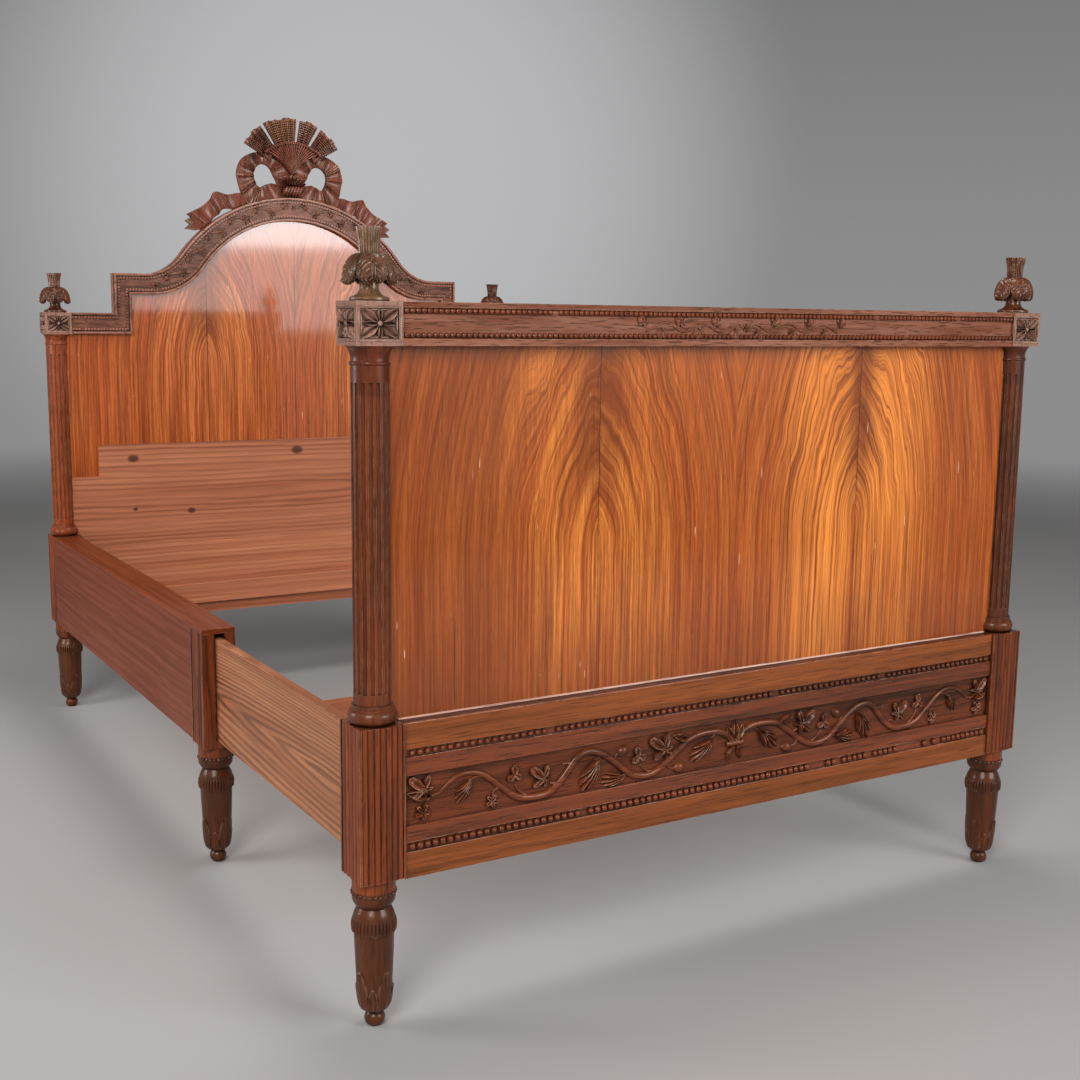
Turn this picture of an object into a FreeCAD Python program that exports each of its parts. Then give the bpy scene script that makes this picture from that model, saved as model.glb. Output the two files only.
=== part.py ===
"""Extendable bed with turned corner posts, an arched headboard and a pull-out foot section.

Frame: X across the bed, foot at -Y, head at +Y, Z up. The origin lies on the floor under the middle of the
pulled-out bed. All sizes are millimetres. The foot section slides along Y: its two thin side rails run in the
hollow side rails of the head section.
"""
import FreeCAD
import Part
import math
import os

import Sketcher
from FreeCAD import Placement, Rotation, Vector

SIZES = {
    "bed_wide": 1350.0,
    "bed_long": 2031.5,
    "leg_high": 232.0,
    "leg_ball_high": 22.0,
    "leg_pad_r": 9.0,
    "leg_waist_r": 10.5,
    "leg_cup_r": 22.7,
    "leg_cup_high": 22.0,
    "leg_body_r": 28.5,
    "leg_body_high": 103.0,
    "leg_ring_r": 30.5,
    "leg_ring_high": 31.0,
    "leg_neck_r": 24.0,
    "leg_neck_high": 9.0,
    "leg_collar_r": 32.0,
    "leg_collar_flare": 14.0,
    "block_high": 229.0,
    "foot_post_wide": 71.0,
    "foot_post_deep": 70.0,
    "foot_post_bow": 4.0,
    "head_post_wide": 70.0,
    "head_post_deep": 70.0,
    "post_outer_step": 3.0,
    "reed_deep": 2.6,
    "reed_border": 3.5,
    "base_ring_r": 35.5,
    "base_ring_high": 22.0,
    "base_fillet_r": 30.0,
    "base_fillet_high": 6.0,
    "shaft_r": 27.0,
    "shaft_high": 477.0,
    "flute_wide": 6.4,
    "flute_deep": 2.4,
    "flute_low_margin": 17.0,
    "flute_high_margin": 23.0,
    "neck_ring_r": 28.8,
    "neck_ring_high": 6.0,
    "echinus_r": 34.0,
    "echinus_high": 21.0,
    "foot_capital_wide": 69.0,
    "foot_capital_high": 60.0,
    "head_capital_wide": 65.0,
    "head_capital_high": 55.0,
    "head_column_shorter": 12.0,
    "capital_recess_deep": 3.5,
    "capital_recess_side": 6.0,
    "capital_recess_edge": 9.5,
    "finial_base_r": 25.5,
    "finial_base_high": 5.0,
    "finial_neck_r": 12.0,
    "finial_ogee_high": 15.0,
    "finial_stem_high": 5.0,
    "finial_leaf_r": 33.0,
    "finial_leaf_high": 39.0,
    "finial_leaf_lip": 7.0,
    "finial_sheaf_r": 15.2,
    "finial_sheaf_high": 35.0,
    "finial_ogee_r": 15.5,
    "finial_waist_r": 12.0,
    "foot_face_step": 8.0,
    "foot_panel_front": 31.0,
    "foot_panel_thick": 18.0,
    "foot_panel_joint": 265.0,
    "panel_tongue": 6.0,
    "foot_rail_back": 65.0,
    "top_rail_step": 6.0,
    "top_rail_back": 68.0,
    "top_rail_edge": 8.0,
    "top_rail_bead_low": 10.0,
    "top_rail_bead_wide": 9.0,
    "top_rail_sink": 3.0,
    "bottom_rail_drop": 4.0,
    "low_strip_high": 40.0,
    "low_bead_high": 14.5,
    "low_moulding_high": 24.0,
    "frieze_high": 75.5,
    "high_moulding_high": 28.0,
    "high_bead_high": 11.5,
    "frieze_sink": 5.0,
    "moulding_lip_r": 1.5,
    "bead_strip_r": 3.6,
    "ledge_bead_r": 2.5,
    "side_rail_thick": 16.0,
    "side_rail_low": 14.0,
    "side_rail_high": 194.0,
    "side_rail_tail": 475.0,
    "slot_wide": 20.3,
    "slot_floor": 13.5,
    "box_rail_wide": 64.0,
    "box_outer_thick": 24.4,
    "box_rail_low": 4.0,
    "box_cap_thick": 10.0,
    "mid_block_front": 728.6,
    "mid_block_deep": 69.5,
    "cross_rail_high": 49.0,
    "cross_rail_deep": 26.0,
    "cross_rail_back_step": 40.0,
    "head_moulding_step": 4.0,
    "head_moulding_thick": 10.0,
    "head_band_rise": 4.0,
    "head_bead_rise": 1.2,
    "head_band_wide": 6.0,
    "head_bead_gap": 2.5,
    "head_bead_wide": 7.0,
    "head_panel_thick": 22.0,
    "head_return_wide": 54.0,
    "head_return_long": 110.5,
    "head_riser_wide": 44.0,
    "head_shoulder_high": 102.0,
    "head_arch_high": 214.0,
    "head_shoulder_long": 74.0,
    "head_inner_arch_high": 206.0,
    "head_inner_shoulder_long": 50.0,
    "head_edge_board_wide": 69.0,
    "head_seat_deep": 30.0,
    "head_board_in": 248.0,
    "veneer_low_out": 380.0,
    "veneer_low_in": 462.0,
    "pine_joint": 191.0,
    "pine_drop": 10.0,
    "batten_low": 21.0,
    "batten_high": 76.0,
    "crest_thick": 15.0,
    "crest_loop_out": 151.0,
    "crest_loop_high": 102.0,
    "crest_hub_r": 20.0,
    "crest_tail_out": 290.0,
    "crest_knot_r": 28.0,
    "crest_knot_thick": 24.0,
    "crest_stalk_low": 62.0,
    "crest_tie_high": 148.0,
    "crest_fan_high": 213.0,
    "crest_fan_thick": 12.0,
    "crest_stalk_thick": 17.0,
    "crest_groove_r": 1.5,
    "overrun": 5.0,
}
FRONT_REEDS = 7
SIDE_REEDS = 5
FLUTES = 16
FAN_RAYS = 12
FULL_TURN = 360.0
FAN_HALF_ANGLE = 60.0
STALK_HALF_ANGLE = 54.0
FAN_GAP_ANGLES = (-33.0, 8.0, 32.0)
FAN_GAP_HALF_ANGLE = 1.6

# Radii of turned curves as shares of the height that they span
LEG_BALL_SHARE = 0.62
LEG_CUP_SHARE = 1.1
LEG_COLLAR_SHARE = 1.2
BELL_SHARE = 1.15
FINIAL_OGEE_SHARE = 0.5
FINIAL_DOME_SHARES = (0.96, 0.36, 0.72, 0.76)
# Radii of half-round beads as shares of their height
RAIL_BEAD_SHARE = 0.9
STRIP_BEAD_SHARE = 0.56
# How far the knot stands over the apex, as a share of its radius
KNOT_RISE_SHARE = 0.7
# The crown's part of the two radii that make up the arch
CROWN_SHARE = 0.752
INNER_CROWN_SHARE = 0.635

# Ribbon outlines as shares: across by the loop's or the tail's reach, up by the loop's height.
loop_outer_shares = (
    (0.06, 0.42), (0.20, 0.78), (0.42, 1.10), (0.62, 1.16), (0.87, 1.01), (1.00, 0.66),
    (0.95, 0.20), (0.80, -0.18), (0.40, -0.14), (0.06, -0.04),
)
loop_hole_shares = (
    (0.31, 0.31), (0.38, 0.62), (0.51, 0.90), (0.64, 0.74), (0.70, 0.46), (0.66, 0.26), (0.48, 0.33),
)
tail_top_shares = ((0.34, 0.02), (0.50, 0.08), (0.62, 0.02), (0.735, 0.07))
tail_side_shares = ((0.735, 0.07), (0.78, -0.13), (0.86, -0.32), (1.0, -0.53))
tail_notch_shares = ((0.965, -0.61), (1.02, -0.70), (0.975, -0.79), (1.024, -0.91))
tail_low_shares = ((1.024, -0.91), (0.92, -0.94), (0.82, -0.88))
tail_back_shares = ((0.82, -0.88), (0.765, -0.64), (0.655, -0.36), (0.53, -0.36), (0.42, -0.40))


class Size:
    """A length with the sheet expression that gives it, so that plain sums stay bound to the sheet."""

    def __init__(self, value, text):
        self.value = float(value)
        self.text = text

    def __add__(self, other):
        return joined(self, "+", other)

    def __radd__(self, other):
        return joined(other, "+", self)

    def __sub__(self, other):
        return joined(self, "-", other)

    def __rsub__(self, other):
        return joined(other, "-", self)

    def __mul__(self, other):
        return joined(self, "*", other)

    def __rmul__(self, other):
        return joined(other, "*", self)

    def __truediv__(self, other):
        return joined(self, "/", other)

    def __neg__(self):
        return joined(self, "*", -1.0)


def joined(first, sign, second):
    """One sum of two sizes or numbers, as a value and as an expression."""
    first = first if isinstance(first, Size) else Size(first, repr(float(first)))
    second = second if isinstance(second, Size) else Size(second, repr(float(second)))
    if sign == "+":
        value = first.value + second.value
    elif sign == "-":
        value = first.value - second.value
    elif sign == "*":
        value = first.value * second.value
    else:
        value = first.value / second.value
    return Size(value, "(%s %s %s)" % (first.text, sign, second.text))


class Sizes:
    """The driving dimensions, one attribute for each cell of the sheet."""


doc = FreeCAD.newDocument("extendable_bed")
sheet = doc.addObject("Spreadsheet::Sheet", "sizes")
s = Sizes()
for row, (alias, number) in enumerate(SIZES.items(), start=1):
    sheet.set("A%d" % row, alias.replace("_", " "))
    sheet.set("B%d" % row, str(number))
    sheet.setAlias("B%d" % row, alias)
    setattr(s, alias, Size(number, "sizes." + alias))
doc.recompute()
nodes = []


def bind(item, prop, size):
    """Ties a property to the sheet; a plain number is set as it is."""
    if isinstance(size, Size):
        item.setExpression(prop, size.text)


def value(size):
    """The number behind a size."""
    return size.value if isinstance(size, Size) else float(size)


def name_node(item, label):
    """Gives a sub-part its label and keeps it for the export."""
    item.Label = label
    nodes.append(item)
    return item


def place(item, x=0, y=0, z=0):
    """Puts a sub-part at a place that follows the sheet."""
    item.Placement = Placement(Vector(value(x), value(y), value(z)), Rotation())
    for prop, size in (("x", x), ("y", y), ("z", z)):
        bind(item, "Placement.Base." + prop, size)


def mirrored(span, side):
    """A span along X, on the right for side 1 and mirrored to the left for side -1."""
    low, high = span
    return (low, high) if side > 0 else (-high, -low)


def block(name, x_span, y_span, z_span):
    """A rectangular board between three pairs of bounds."""
    item = doc.addObject("Part::Box", name)
    for prop, span in (("Length", x_span), ("Width", y_span), ("Height", z_span)):
        extent = span[1] - span[0]
        setattr(item, prop, value(extent))
        bind(item, prop, extent)
    place(item, x_span[0], y_span[0], z_span[0])
    return item


def board(label, x_span, y_span, z_span):
    """A rectangular board that is a sub-part of its own."""
    return name_node(block(label, x_span, y_span, z_span), label)


def new_sketch(body, name, role, lift=None):
    """A sketch on one of the body's own origin planes, lifted off it if asked."""
    sketch = body.newObject("Sketcher::SketchObject", name)
    plane = [item for item in body.Origin.OriginFeatures if item.Role == role][0]
    sketch.AttachmentSupport = (plane, [""])
    sketch.MapMode = "FlatFace"
    if lift is not None:
        sketch.AttachmentOffset = Placement(Vector(0, 0, value(lift)), Rotation())
        bind(sketch, "AttachmentOffset.Base.z", lift)
    return sketch


def dimension(sketch, kind, size, *where):
    """One driving dimension of a sketch, tied to the sheet."""
    index = sketch.addConstraint(Sketcher.Constraint(kind, *where, value(size)))
    bind(sketch, "Constraints[%d]" % index, size)


def outline(sketch, points, flip=1):
    """A closed outline. A point is (x, y), or (x, y, radius, bulge) where an arc leads up to it.

    The bulge is 1 where the arc lies left of the way along the outline and -1 where it lies right of it.
    """
    count = len(points)
    first = sketch.GeometryCount
    ends = []
    for index, start in enumerate(points):
        end = points[(index + 1) % count]
        a = Vector(flip * value(start[0]), value(start[1]), 0)
        b = Vector(flip * value(end[0]), value(end[1]), 0)
        if len(end) == 2:
            sketch.addGeometry(Part.LineSegment(a, b))
            ends.append((1, 2))
            continue
        radius, bulge = value(end[2]), flip * end[3]
        chord = b - a
        sagitta = radius - math.sqrt(max(radius * radius - chord.Length ** 2 / 4, 0))
        left = Vector(-chord.y, chord.x, 0).normalize()
        middle = (a + b) * 0.5 + left * sagitta * bulge
        if bulge > 0:
            sketch.addGeometry(Part.Arc(b, middle, a))
            ends.append((2, 1))
        else:
            sketch.addGeometry(Part.Arc(a, middle, b))
            ends.append((1, 2))
    for index, point in enumerate(points):
        here, after = first + index, first + (index + 1) % count
        sketch.addConstraint(
            Sketcher.Constraint("Coincident", here, ends[index][1], after, ends[(index + 1) % count][0]))
        across = point[0] if flip > 0 else -1 * point[0]
        dimension(sketch, "DistanceX", across, -1, 1, here, ends[index][0])
        dimension(sketch, "DistanceY", point[1], -1, 1, here, ends[index][0])
        if len(points[(index + 1) % count]) == 4:
            dimension(sketch, "Radius", points[(index + 1) % count][2], here)


def pad(body, name, points, role, length, lift=None, flip=1):
    """Pads a closed outline along the plane's normal."""
    sketch = new_sketch(body, name + "_outline", role, lift)
    outline(sketch, points, flip)
    feature = body.newObject("PartDesign::Pad", name)
    feature.Profile = sketch
    feature.Length = value(length)
    bind(feature, "Length", length)
    return feature


def pocket(body, name, points, role, length, lift=None, flip=1):
    """Cuts a closed outline upwards along the plane's normal."""
    sketch = new_sketch(body, name + "_outline", role, lift)
    outline(sketch, points, flip)
    feature = body.newObject("PartDesign::Pocket", name)
    feature.Profile = sketch
    feature.Length = value(length)
    bind(feature, "Length", length)
    feature.Reversed = True
    return feature


def turned(label, profile):
    """A turned piece: a profile of (radius, height) points spun about the body's own Z axis."""
    body = doc.addObject("PartDesign::Body", label)
    sketch = new_sketch(body, label + "_profile", "XZ_Plane")
    outline(sketch, profile)
    spin = body.newObject("PartDesign::Revolution", label + "_turning")
    spin.Profile = sketch
    spin.ReferenceAxis = (sketch, ["V_Axis"])
    spin.Angle = FULL_TURN
    return body


def ring_of_cuts(body, name, out, radius, low, high, count):
    """Round grooves cut along Z and repeated about the body's own Z axis."""
    sketch = new_sketch(body, name + "_outline", "XY_Plane", low)
    sketch.addGeometry(Part.Circle(Vector(value(out), 0, 0), Vector(0, 0, 1), value(radius)))
    dimension(sketch, "DistanceX", out, -1, 1, 0, 3)
    sketch.addConstraint(Sketcher.Constraint("PointOnObject", 0, 3, -1))
    dimension(sketch, "Radius", radius, 0)
    cut = body.newObject("PartDesign::Pocket", name)
    cut.Profile = sketch
    cut.Length = value(high - low)
    bind(cut, "Length", high - low)
    cut.Reversed = True
    ring = body.newObject("PartDesign::PolarPattern", name + "_ring")
    ring.Originals = [cut]
    ring.Axis = (sketch, ["N_Axis"])
    ring.Angle = FULL_TURN
    ring.Occurrences = count
    body.Tip = ring
    return ring


# Places that more than one piece uses
half_wide = s.bed_wide / 2
foot_y = -s.bed_long / 2
head_y = s.bed_long / 2
block_low = s.leg_high
block_top = s.leg_high + s.block_high
foot_axis_x = half_wide - s.foot_post_wide / 2
foot_axis_y = foot_y + s.foot_post_bow + s.foot_post_deep / 2
foot_block_back = foot_y + s.foot_post_bow + s.foot_post_deep
head_axis_x = half_wide - s.post_outer_step - s.head_post_wide / 2
head_axis_y = head_y - s.head_post_deep / 2
head_block_front = head_y - s.head_post_deep
mid_front = foot_y + s.mid_block_front
mid_back = mid_front + s.mid_block_deep
box_out = half_wide - s.post_outer_step
box_in = box_out - s.box_rail_wide
slot_out = box_out - s.box_outer_thick
slot_in = slot_out - s.slot_wide
column_high = s.base_ring_high + s.base_fillet_high + s.shaft_high + s.neck_ring_high + s.echinus_high
foot_capital_low = block_top + column_high
head_capital_low = foot_capital_low - s.head_column_shorter
rail_half = half_wide - s.foot_post_wide
foot_face = foot_y + s.foot_face_step
foot_back = foot_y + s.foot_rail_back
frieze_face = foot_face + s.frieze_sink
head_front = head_block_front + s.head_moulding_step
head_band_face = head_front + s.head_band_rise
head_panel_front = head_band_face + s.head_moulding_thick
head_panel_back = head_panel_front + s.head_panel_thick


def bulge_radius(chord, rise):
    """Radius of the arc that stands out by the rise over a chord."""
    return (chord * chord / 4 + rise * rise) / (2 * rise)


def leg_profile():
    """The outer line of a leg: ball foot, cup, tapered body, ring, neck and collar, up to the block."""
    cup_z = s.leg_ball_high
    body_z = cup_z + s.leg_cup_high
    ring_z = body_z + s.leg_body_high
    neck_z = ring_z + s.leg_ring_high
    collar_z = neck_z + s.leg_neck_high
    ring_rise = s.leg_ring_r - (s.leg_body_r + s.leg_neck_r) / 2
    return [
        (0, 0),
        (s.leg_pad_r, 0),
        (s.leg_waist_r, cup_z, s.leg_ball_high * LEG_BALL_SHARE, -1),
        (s.leg_cup_r, body_z, s.leg_cup_high * LEG_CUP_SHARE, -1),
        (s.leg_body_r, ring_z),
        (s.leg_neck_r, neck_z, bulge_radius(s.leg_ring_high, ring_rise), -1),
        (s.leg_neck_r, collar_z),
        (s.leg_collar_r, collar_z + s.leg_collar_flare, s.leg_collar_flare * LEG_COLLAR_SHARE, -1),
    ]


def reed_points(reach, face, count, bow):
    """Reeds along a face, as (along, out, radius) from end to end; the face may bow in its middle."""
    pitch = (reach - 2 * s.reed_border) / count
    radius = bulge_radius(pitch, s.reed_deep)
    points = []
    for index in range(count + 1):
        along = s.reed_border + pitch * index - reach / 2
        share = 2.0 * (index / count) - 1.0
        out = face + bow * (1.0 - share * share) - s.reed_deep
        points.append((along, out, radius))
    return points


def block_outline(wide, deep, front_reeds, side_reeds, bow):
    """Plan of a corner block with its reeded front at -Y and its reeded outer side at +X."""
    points = [(-wide / 2, deep / 2), (-wide / 2, -deep / 2)]
    if front_reeds:
        for index, (along, out, radius) in enumerate(reed_points(wide, deep / 2, front_reeds, bow)):
            if index == 0:
                points.append((along, -deep / 2))
                points.append((along, -out))
            else:
                points.append((along, -out, radius, -1))
        points.append((points[-1][0], -deep / 2))
    points.append((wide / 2, -deep / 2))
    for index, (along, out, radius) in enumerate(reed_points(deep, wide / 2, side_reeds, 0)):
        if index == 0:
            points.append((wide / 2, along))
            points.append((out, along))
        else:
            points.append((out, along, radius, -1))
    points.append((wide / 2, points[-1][1]))
    points.append((wide / 2, deep / 2))
    return points


def column_profile(shorter):
    """The outer line of a column from its block up: ring base, shaft, neck ring and bell."""
    shaft_z = block_top + s.base_ring_high + s.base_fillet_high
    neck_z = shaft_z + s.shaft_high - shorter
    bell_z = neck_z + s.neck_ring_high
    top_z = bell_z + s.echinus_high
    return [
        (s.base_fillet_r, block_top),
        (s.base_fillet_r, block_top + s.base_ring_high,
         bulge_radius(s.base_ring_high, s.base_ring_r - s.base_fillet_r), -1),
        (s.base_fillet_r, shaft_z),
        (s.shaft_r, shaft_z),
        (s.shaft_r, neck_z),
        (s.shaft_r, bell_z, bulge_radius(s.neck_ring_high, s.neck_ring_r - s.shaft_r), -1),
        (s.echinus_r, top_z, s.echinus_high * BELL_SHARE, 1),
        (0, top_z),
    ]


def cut_flutes(body, label, shorter):
    """Round flutes around the shaft, stopped short of its ends."""
    shaft_z = block_top + s.base_ring_high + s.base_fillet_high
    neck_z = shaft_z + s.shaft_high - shorter
    radius = bulge_radius(s.flute_wide, s.flute_deep)
    out = s.shaft_r - s.flute_deep + radius
    ring_of_cuts(body, label + "_flutes", out, radius, shaft_z + s.flute_low_margin,
                 neck_z - s.flute_high_margin, FLUTES)


def cut_panel_groove(body, label, side, panel_span, top_z):
    """The groove along the column's inner side that holds the panel's edge."""
    near = s.shaft_r - s.panel_tongue
    far = s.base_ring_r + s.overrun
    low, high = panel_span
    groove = [(-far, low), (-near, low), (-near, high), (-far, high)]
    pocket(body, label + "_groove", groove, "XY_Plane", top_z - block_top, block_top, flip=side)


def add_capital(body, label, side, low, wide, high):
    """The square top block with a sunk field in its front and in its outer side."""
    half = wide / 2
    square = [(-half, -half), (half, -half), (half, half), (-half, half)]
    pad(body, label + "_capital", square, "XY_Plane", high, low)
    inner = half - s.capital_recess_side
    deep = half - s.capital_recess_deep
    far = half + s.overrun
    field_high = high - 2 * s.capital_recess_edge
    front = [(-inner, -far), (inner, -far), (inner, -deep), (-inner, -deep)]
    outer = [(deep, -inner), (far, -inner), (far, inner), (deep, inner)]
    field_low = low + s.capital_recess_edge
    pocket(body, label + "_front_field", front, "XY_Plane", field_high, field_low)
    pocket(body, label + "_side_field", outer, "XY_Plane", field_high, field_low, flip=side)


def make_post(label, side, x, y, plan, shorter, panel_span, capital_low, capital_wide, capital_high):
    """A corner post, turned and cut from one timber: leg, reeded block, fluted column and top block."""
    profile = leg_profile() + [(s.leg_collar_r, block_top)] + column_profile(shorter)
    body = name_node(turned(label, profile), label)
    pad(body, label + "_block", plan, "XY_Plane", s.block_high, block_low, flip=side)
    cut_flutes(body, label, shorter)
    cut_panel_groove(body, label, side, panel_span, capital_low)
    add_capital(body, label, side, capital_low, capital_wide, capital_high)
    place(body, x, y)
    return body


def make_finial(label, x, y, low):
    """A turned finial: foot, ogee, drooping leaves and a bound sheaf."""
    ogee_z = s.finial_base_high + s.finial_ogee_high
    lip_z = ogee_z + s.finial_stem_high
    leaf_z = lip_z + s.finial_leaf_high
    top_z = leaf_z + s.finial_sheaf_high
    profile = [
        (0, 0),
        (s.finial_base_r, 0),
        (s.finial_base_r, s.finial_base_high),
        (s.finial_ogee_r, s.finial_base_high + s.finial_ogee_high * FINIAL_OGEE_SHARE),
        (s.finial_neck_r, ogee_z),
        (s.finial_neck_r, lip_z + s.finial_leaf_lip),
        (s.finial_leaf_r, lip_z),
        (s.finial_leaf_r * FINIAL_DOME_SHARES[0], lip_z + s.finial_leaf_high * FINIAL_DOME_SHARES[1]),
        (s.finial_leaf_r * FINIAL_DOME_SHARES[2], lip_z + s.finial_leaf_high * FINIAL_DOME_SHARES[3]),
        (s.finial_waist_r, leaf_z),
        (s.finial_sheaf_r, top_z),
        (0, top_z),
    ]
    body = name_node(turned(label, profile), label)
    place(body, x, y, low)
    return body


def make_posts():
    """Four corner posts, each with its finial."""
    foot_plan = block_outline(s.foot_post_wide, s.foot_post_deep, FRONT_REEDS, SIDE_REEDS, s.foot_post_bow)
    head_plan = block_outline(s.head_post_wide, s.head_post_deep, 0, SIDE_REEDS, s.foot_post_bow)
    foot_slot = (
        foot_y + s.foot_panel_front - foot_axis_y,
        foot_y + s.foot_panel_front + s.foot_panel_thick - foot_axis_y,
    )
    head_slot = (head_panel_front - head_axis_y, head_panel_back - head_axis_y)
    foot_top = foot_capital_low + s.foot_capital_high
    head_top = head_capital_low + s.head_capital_high
    for side, word in ((-1, "left"), (1, "right")):
        foot_x = side * foot_axis_x
        head_x = side * head_axis_x
        make_post("foot_post_" + word, side, foot_x, foot_axis_y, foot_plan, 0, foot_slot,
                  foot_capital_low, s.foot_capital_wide, s.foot_capital_high)
        make_finial("foot_finial_" + word, foot_x, foot_axis_y, foot_top)
        make_post("head_post_" + word, side, head_x, head_axis_y, head_plan, s.head_column_shorter, head_slot,
                  head_capital_low, s.head_capital_wide, s.head_capital_high)
        make_finial("head_finial_" + word, head_x, head_axis_y, head_top)


def extruded(label, profile, half_long):
    """A rail or moulding: a (Y, Z) profile pushed along X from one end to the other."""
    body = name_node(doc.addObject("PartDesign::Body", label), label)
    pad(body, label + "_pad", profile, "YZ_Plane", 2 * half_long)
    place(body, -half_long)
    return body


def make_foot_top_rail():
    """The footboard's top rail with a bead row along each edge of its sunk frieze."""
    front = foot_y + s.top_rail_step
    back = foot_y + s.top_rail_back
    sunk = front + s.top_rail_sink
    low = foot_capital_low
    top = low + s.foot_capital_high
    bead_r = s.top_rail_bead_wide * RAIL_BEAD_SHARE
    high_bead = top - s.top_rail_edge
    low_bead = low + s.top_rail_bead_low
    profile = [
        (back, low),
        (back, top),
        (front, top),
        (front, high_bead),
        (sunk, high_bead),
        (sunk, high_bead - s.top_rail_bead_wide, bead_r, -1),
        (sunk, low_bead + s.top_rail_bead_wide),
        (sunk, low_bead, bead_r, -1),
        (front, low_bead),
        (front, low),
    ]
    extruded("foot_top_rail", profile, half_wide - s.foot_post_wide / 2 - s.foot_capital_wide / 2)


def bead_strip(label, low, high):
    """A half-round strip between two mouldings, on the face of the rail board."""
    radius = (high - low) * STRIP_BEAD_SHARE
    profile = [
        (frieze_face, low),
        (frieze_face, high),
        (foot_face + s.bead_strip_r, high),
        (foot_face + s.bead_strip_r, low, radius, -1),
    ]
    extruded(label, profile, rail_half)


def make_foot_bottom_rail():
    """The footboard's bottom rail: a board with a sunk frieze, mouldings, bead strips and plain strips."""
    low = block_low - s.bottom_rail_drop
    low_strip_top = low + s.low_strip_high
    low_bead_top = low_strip_top + s.low_bead_high
    low_moulding_top = low_bead_top + s.low_moulding_high
    frieze_top = low_moulding_top + s.frieze_high
    high_moulding_top = frieze_top + s.high_moulding_high
    high_bead_top = high_moulding_top + s.high_bead_high
    lip = s.moulding_lip_r
    board("foot_rail_board", (-rail_half, rail_half), (frieze_face, foot_back), (low, block_top))
    board("foot_low_strip", (-rail_half, rail_half), (foot_face, frieze_face), (low, low_strip_top))
    bead_strip("foot_low_bead", low_strip_top, low_bead_top)
    extruded("foot_low_moulding", [
        (foot_face, low_bead_top),
        (frieze_face, low_bead_top),
        (frieze_face, low_moulding_top),
        (foot_face + lip, low_moulding_top),
        (foot_face, low_moulding_top - lip, lip, -1),
    ], rail_half)
    extruded("foot_high_moulding", [
        (foot_face, high_moulding_top),
        (foot_face, frieze_top + lip),
        (foot_face + lip, frieze_top, lip, -1),
        (frieze_face, frieze_top),
        (frieze_face, high_moulding_top),
    ], rail_half)
    bead_strip("foot_high_bead", high_moulding_top, high_bead_top)
    board("foot_high_strip", (-rail_half, rail_half), (foot_face, frieze_face), (high_bead_top, block_top))


def make_foot_panel():
    """The footboard's upright veneered boards, book-matched at the joints."""
    edge = foot_axis_x - s.shaft_r + s.panel_tongue
    y_span = (foot_y + s.foot_panel_front, foot_y + s.foot_panel_front + s.foot_panel_thick)
    z_span = (block_top, foot_capital_low)
    for side, word in ((-1, "left"), (1, "right")):
        outer = mirrored((s.foot_panel_joint, edge), side)
        inner = mirrored((0, s.foot_panel_joint), side)
        board("foot_panel_outer_" + word, outer, y_span, z_span)
        board("foot_panel_inner_" + word, inner, y_span, z_span)
    extruded("foot_ledge_bead", [
        (y_span[0], block_top),
        (y_span[0], block_top + s.ledge_bead_r),
        (y_span[0] - s.ledge_bead_r, block_top, s.ledge_bead_r, -1),
    ], half_wide - s.foot_post_wide / 2 - s.base_ring_r)


def make_side_rails():
    """The sliding rails of the foot section and the hollow rails that they run in."""
    rail_mid = (slot_in + slot_out) / 2
    rail_span = (rail_mid - s.side_rail_thick / 2, rail_mid + s.side_rail_thick / 2)
    rail_low = block_low + s.side_rail_low
    rail_end = mid_back + s.side_rail_tail - s.mid_block_deep
    cap_low = block_top - s.box_cap_thick
    for side, word in ((-1, "left"), (1, "right")):
        board("foot_side_rail_" + word, mirrored(rail_span, side), (foot_block_back, rail_end),
              (rail_low, rail_low + s.side_rail_high))
        board("box_outer_board_" + word, mirrored((slot_out, box_out), side),
              (mid_back, head_block_front), (block_low + s.box_rail_low, cap_low))
        board("box_inner_board_" + word, mirrored((box_in, slot_in), side),
              (mid_back, head_block_front), (block_low + s.box_rail_low, cap_low))
        board("box_cap_" + word, mirrored((box_in, box_out), side),
              (mid_front, head_block_front), (cap_low, block_top))


def make_middle():
    """The middle posts with their slotted blocks, and the low rail between them."""
    plan = block_outline(s.box_rail_wide, s.mid_block_deep, 0, SIDE_REEDS, s.foot_post_bow)
    axis_x = (box_in + box_out) / 2
    axis_y = (mid_front + mid_back) / 2
    high = s.block_high - s.box_cap_thick
    deep = s.mid_block_deep / 2 + s.overrun
    slot = [
        (slot_in - axis_x, -deep),
        (slot_out - axis_x, -deep),
        (slot_out - axis_x, deep),
        (slot_in - axis_x, deep),
    ]
    for side, word in ((-1, "left"), (1, "right")):
        label = "mid_post_" + word
        profile = leg_profile() + [(s.leg_collar_r, block_low), (0, block_low)]
        body = name_node(turned(label, profile), label)
        pad(body, label + "_block", plan, "XY_Plane", high, block_low, flip=side)
        pocket(body, label + "_slot", slot, "XY_Plane", high, block_low + s.slot_floor, flip=side)
        place(body, side * axis_x, axis_y)
    rail_back = mid_front + s.cross_rail_back_step
    board("mid_cross_rail", (-box_in, box_in), (rail_back - s.cross_rail_deep, rail_back),
          (block_low + s.box_rail_low, block_low + s.box_rail_low + s.cross_rail_high))


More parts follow.
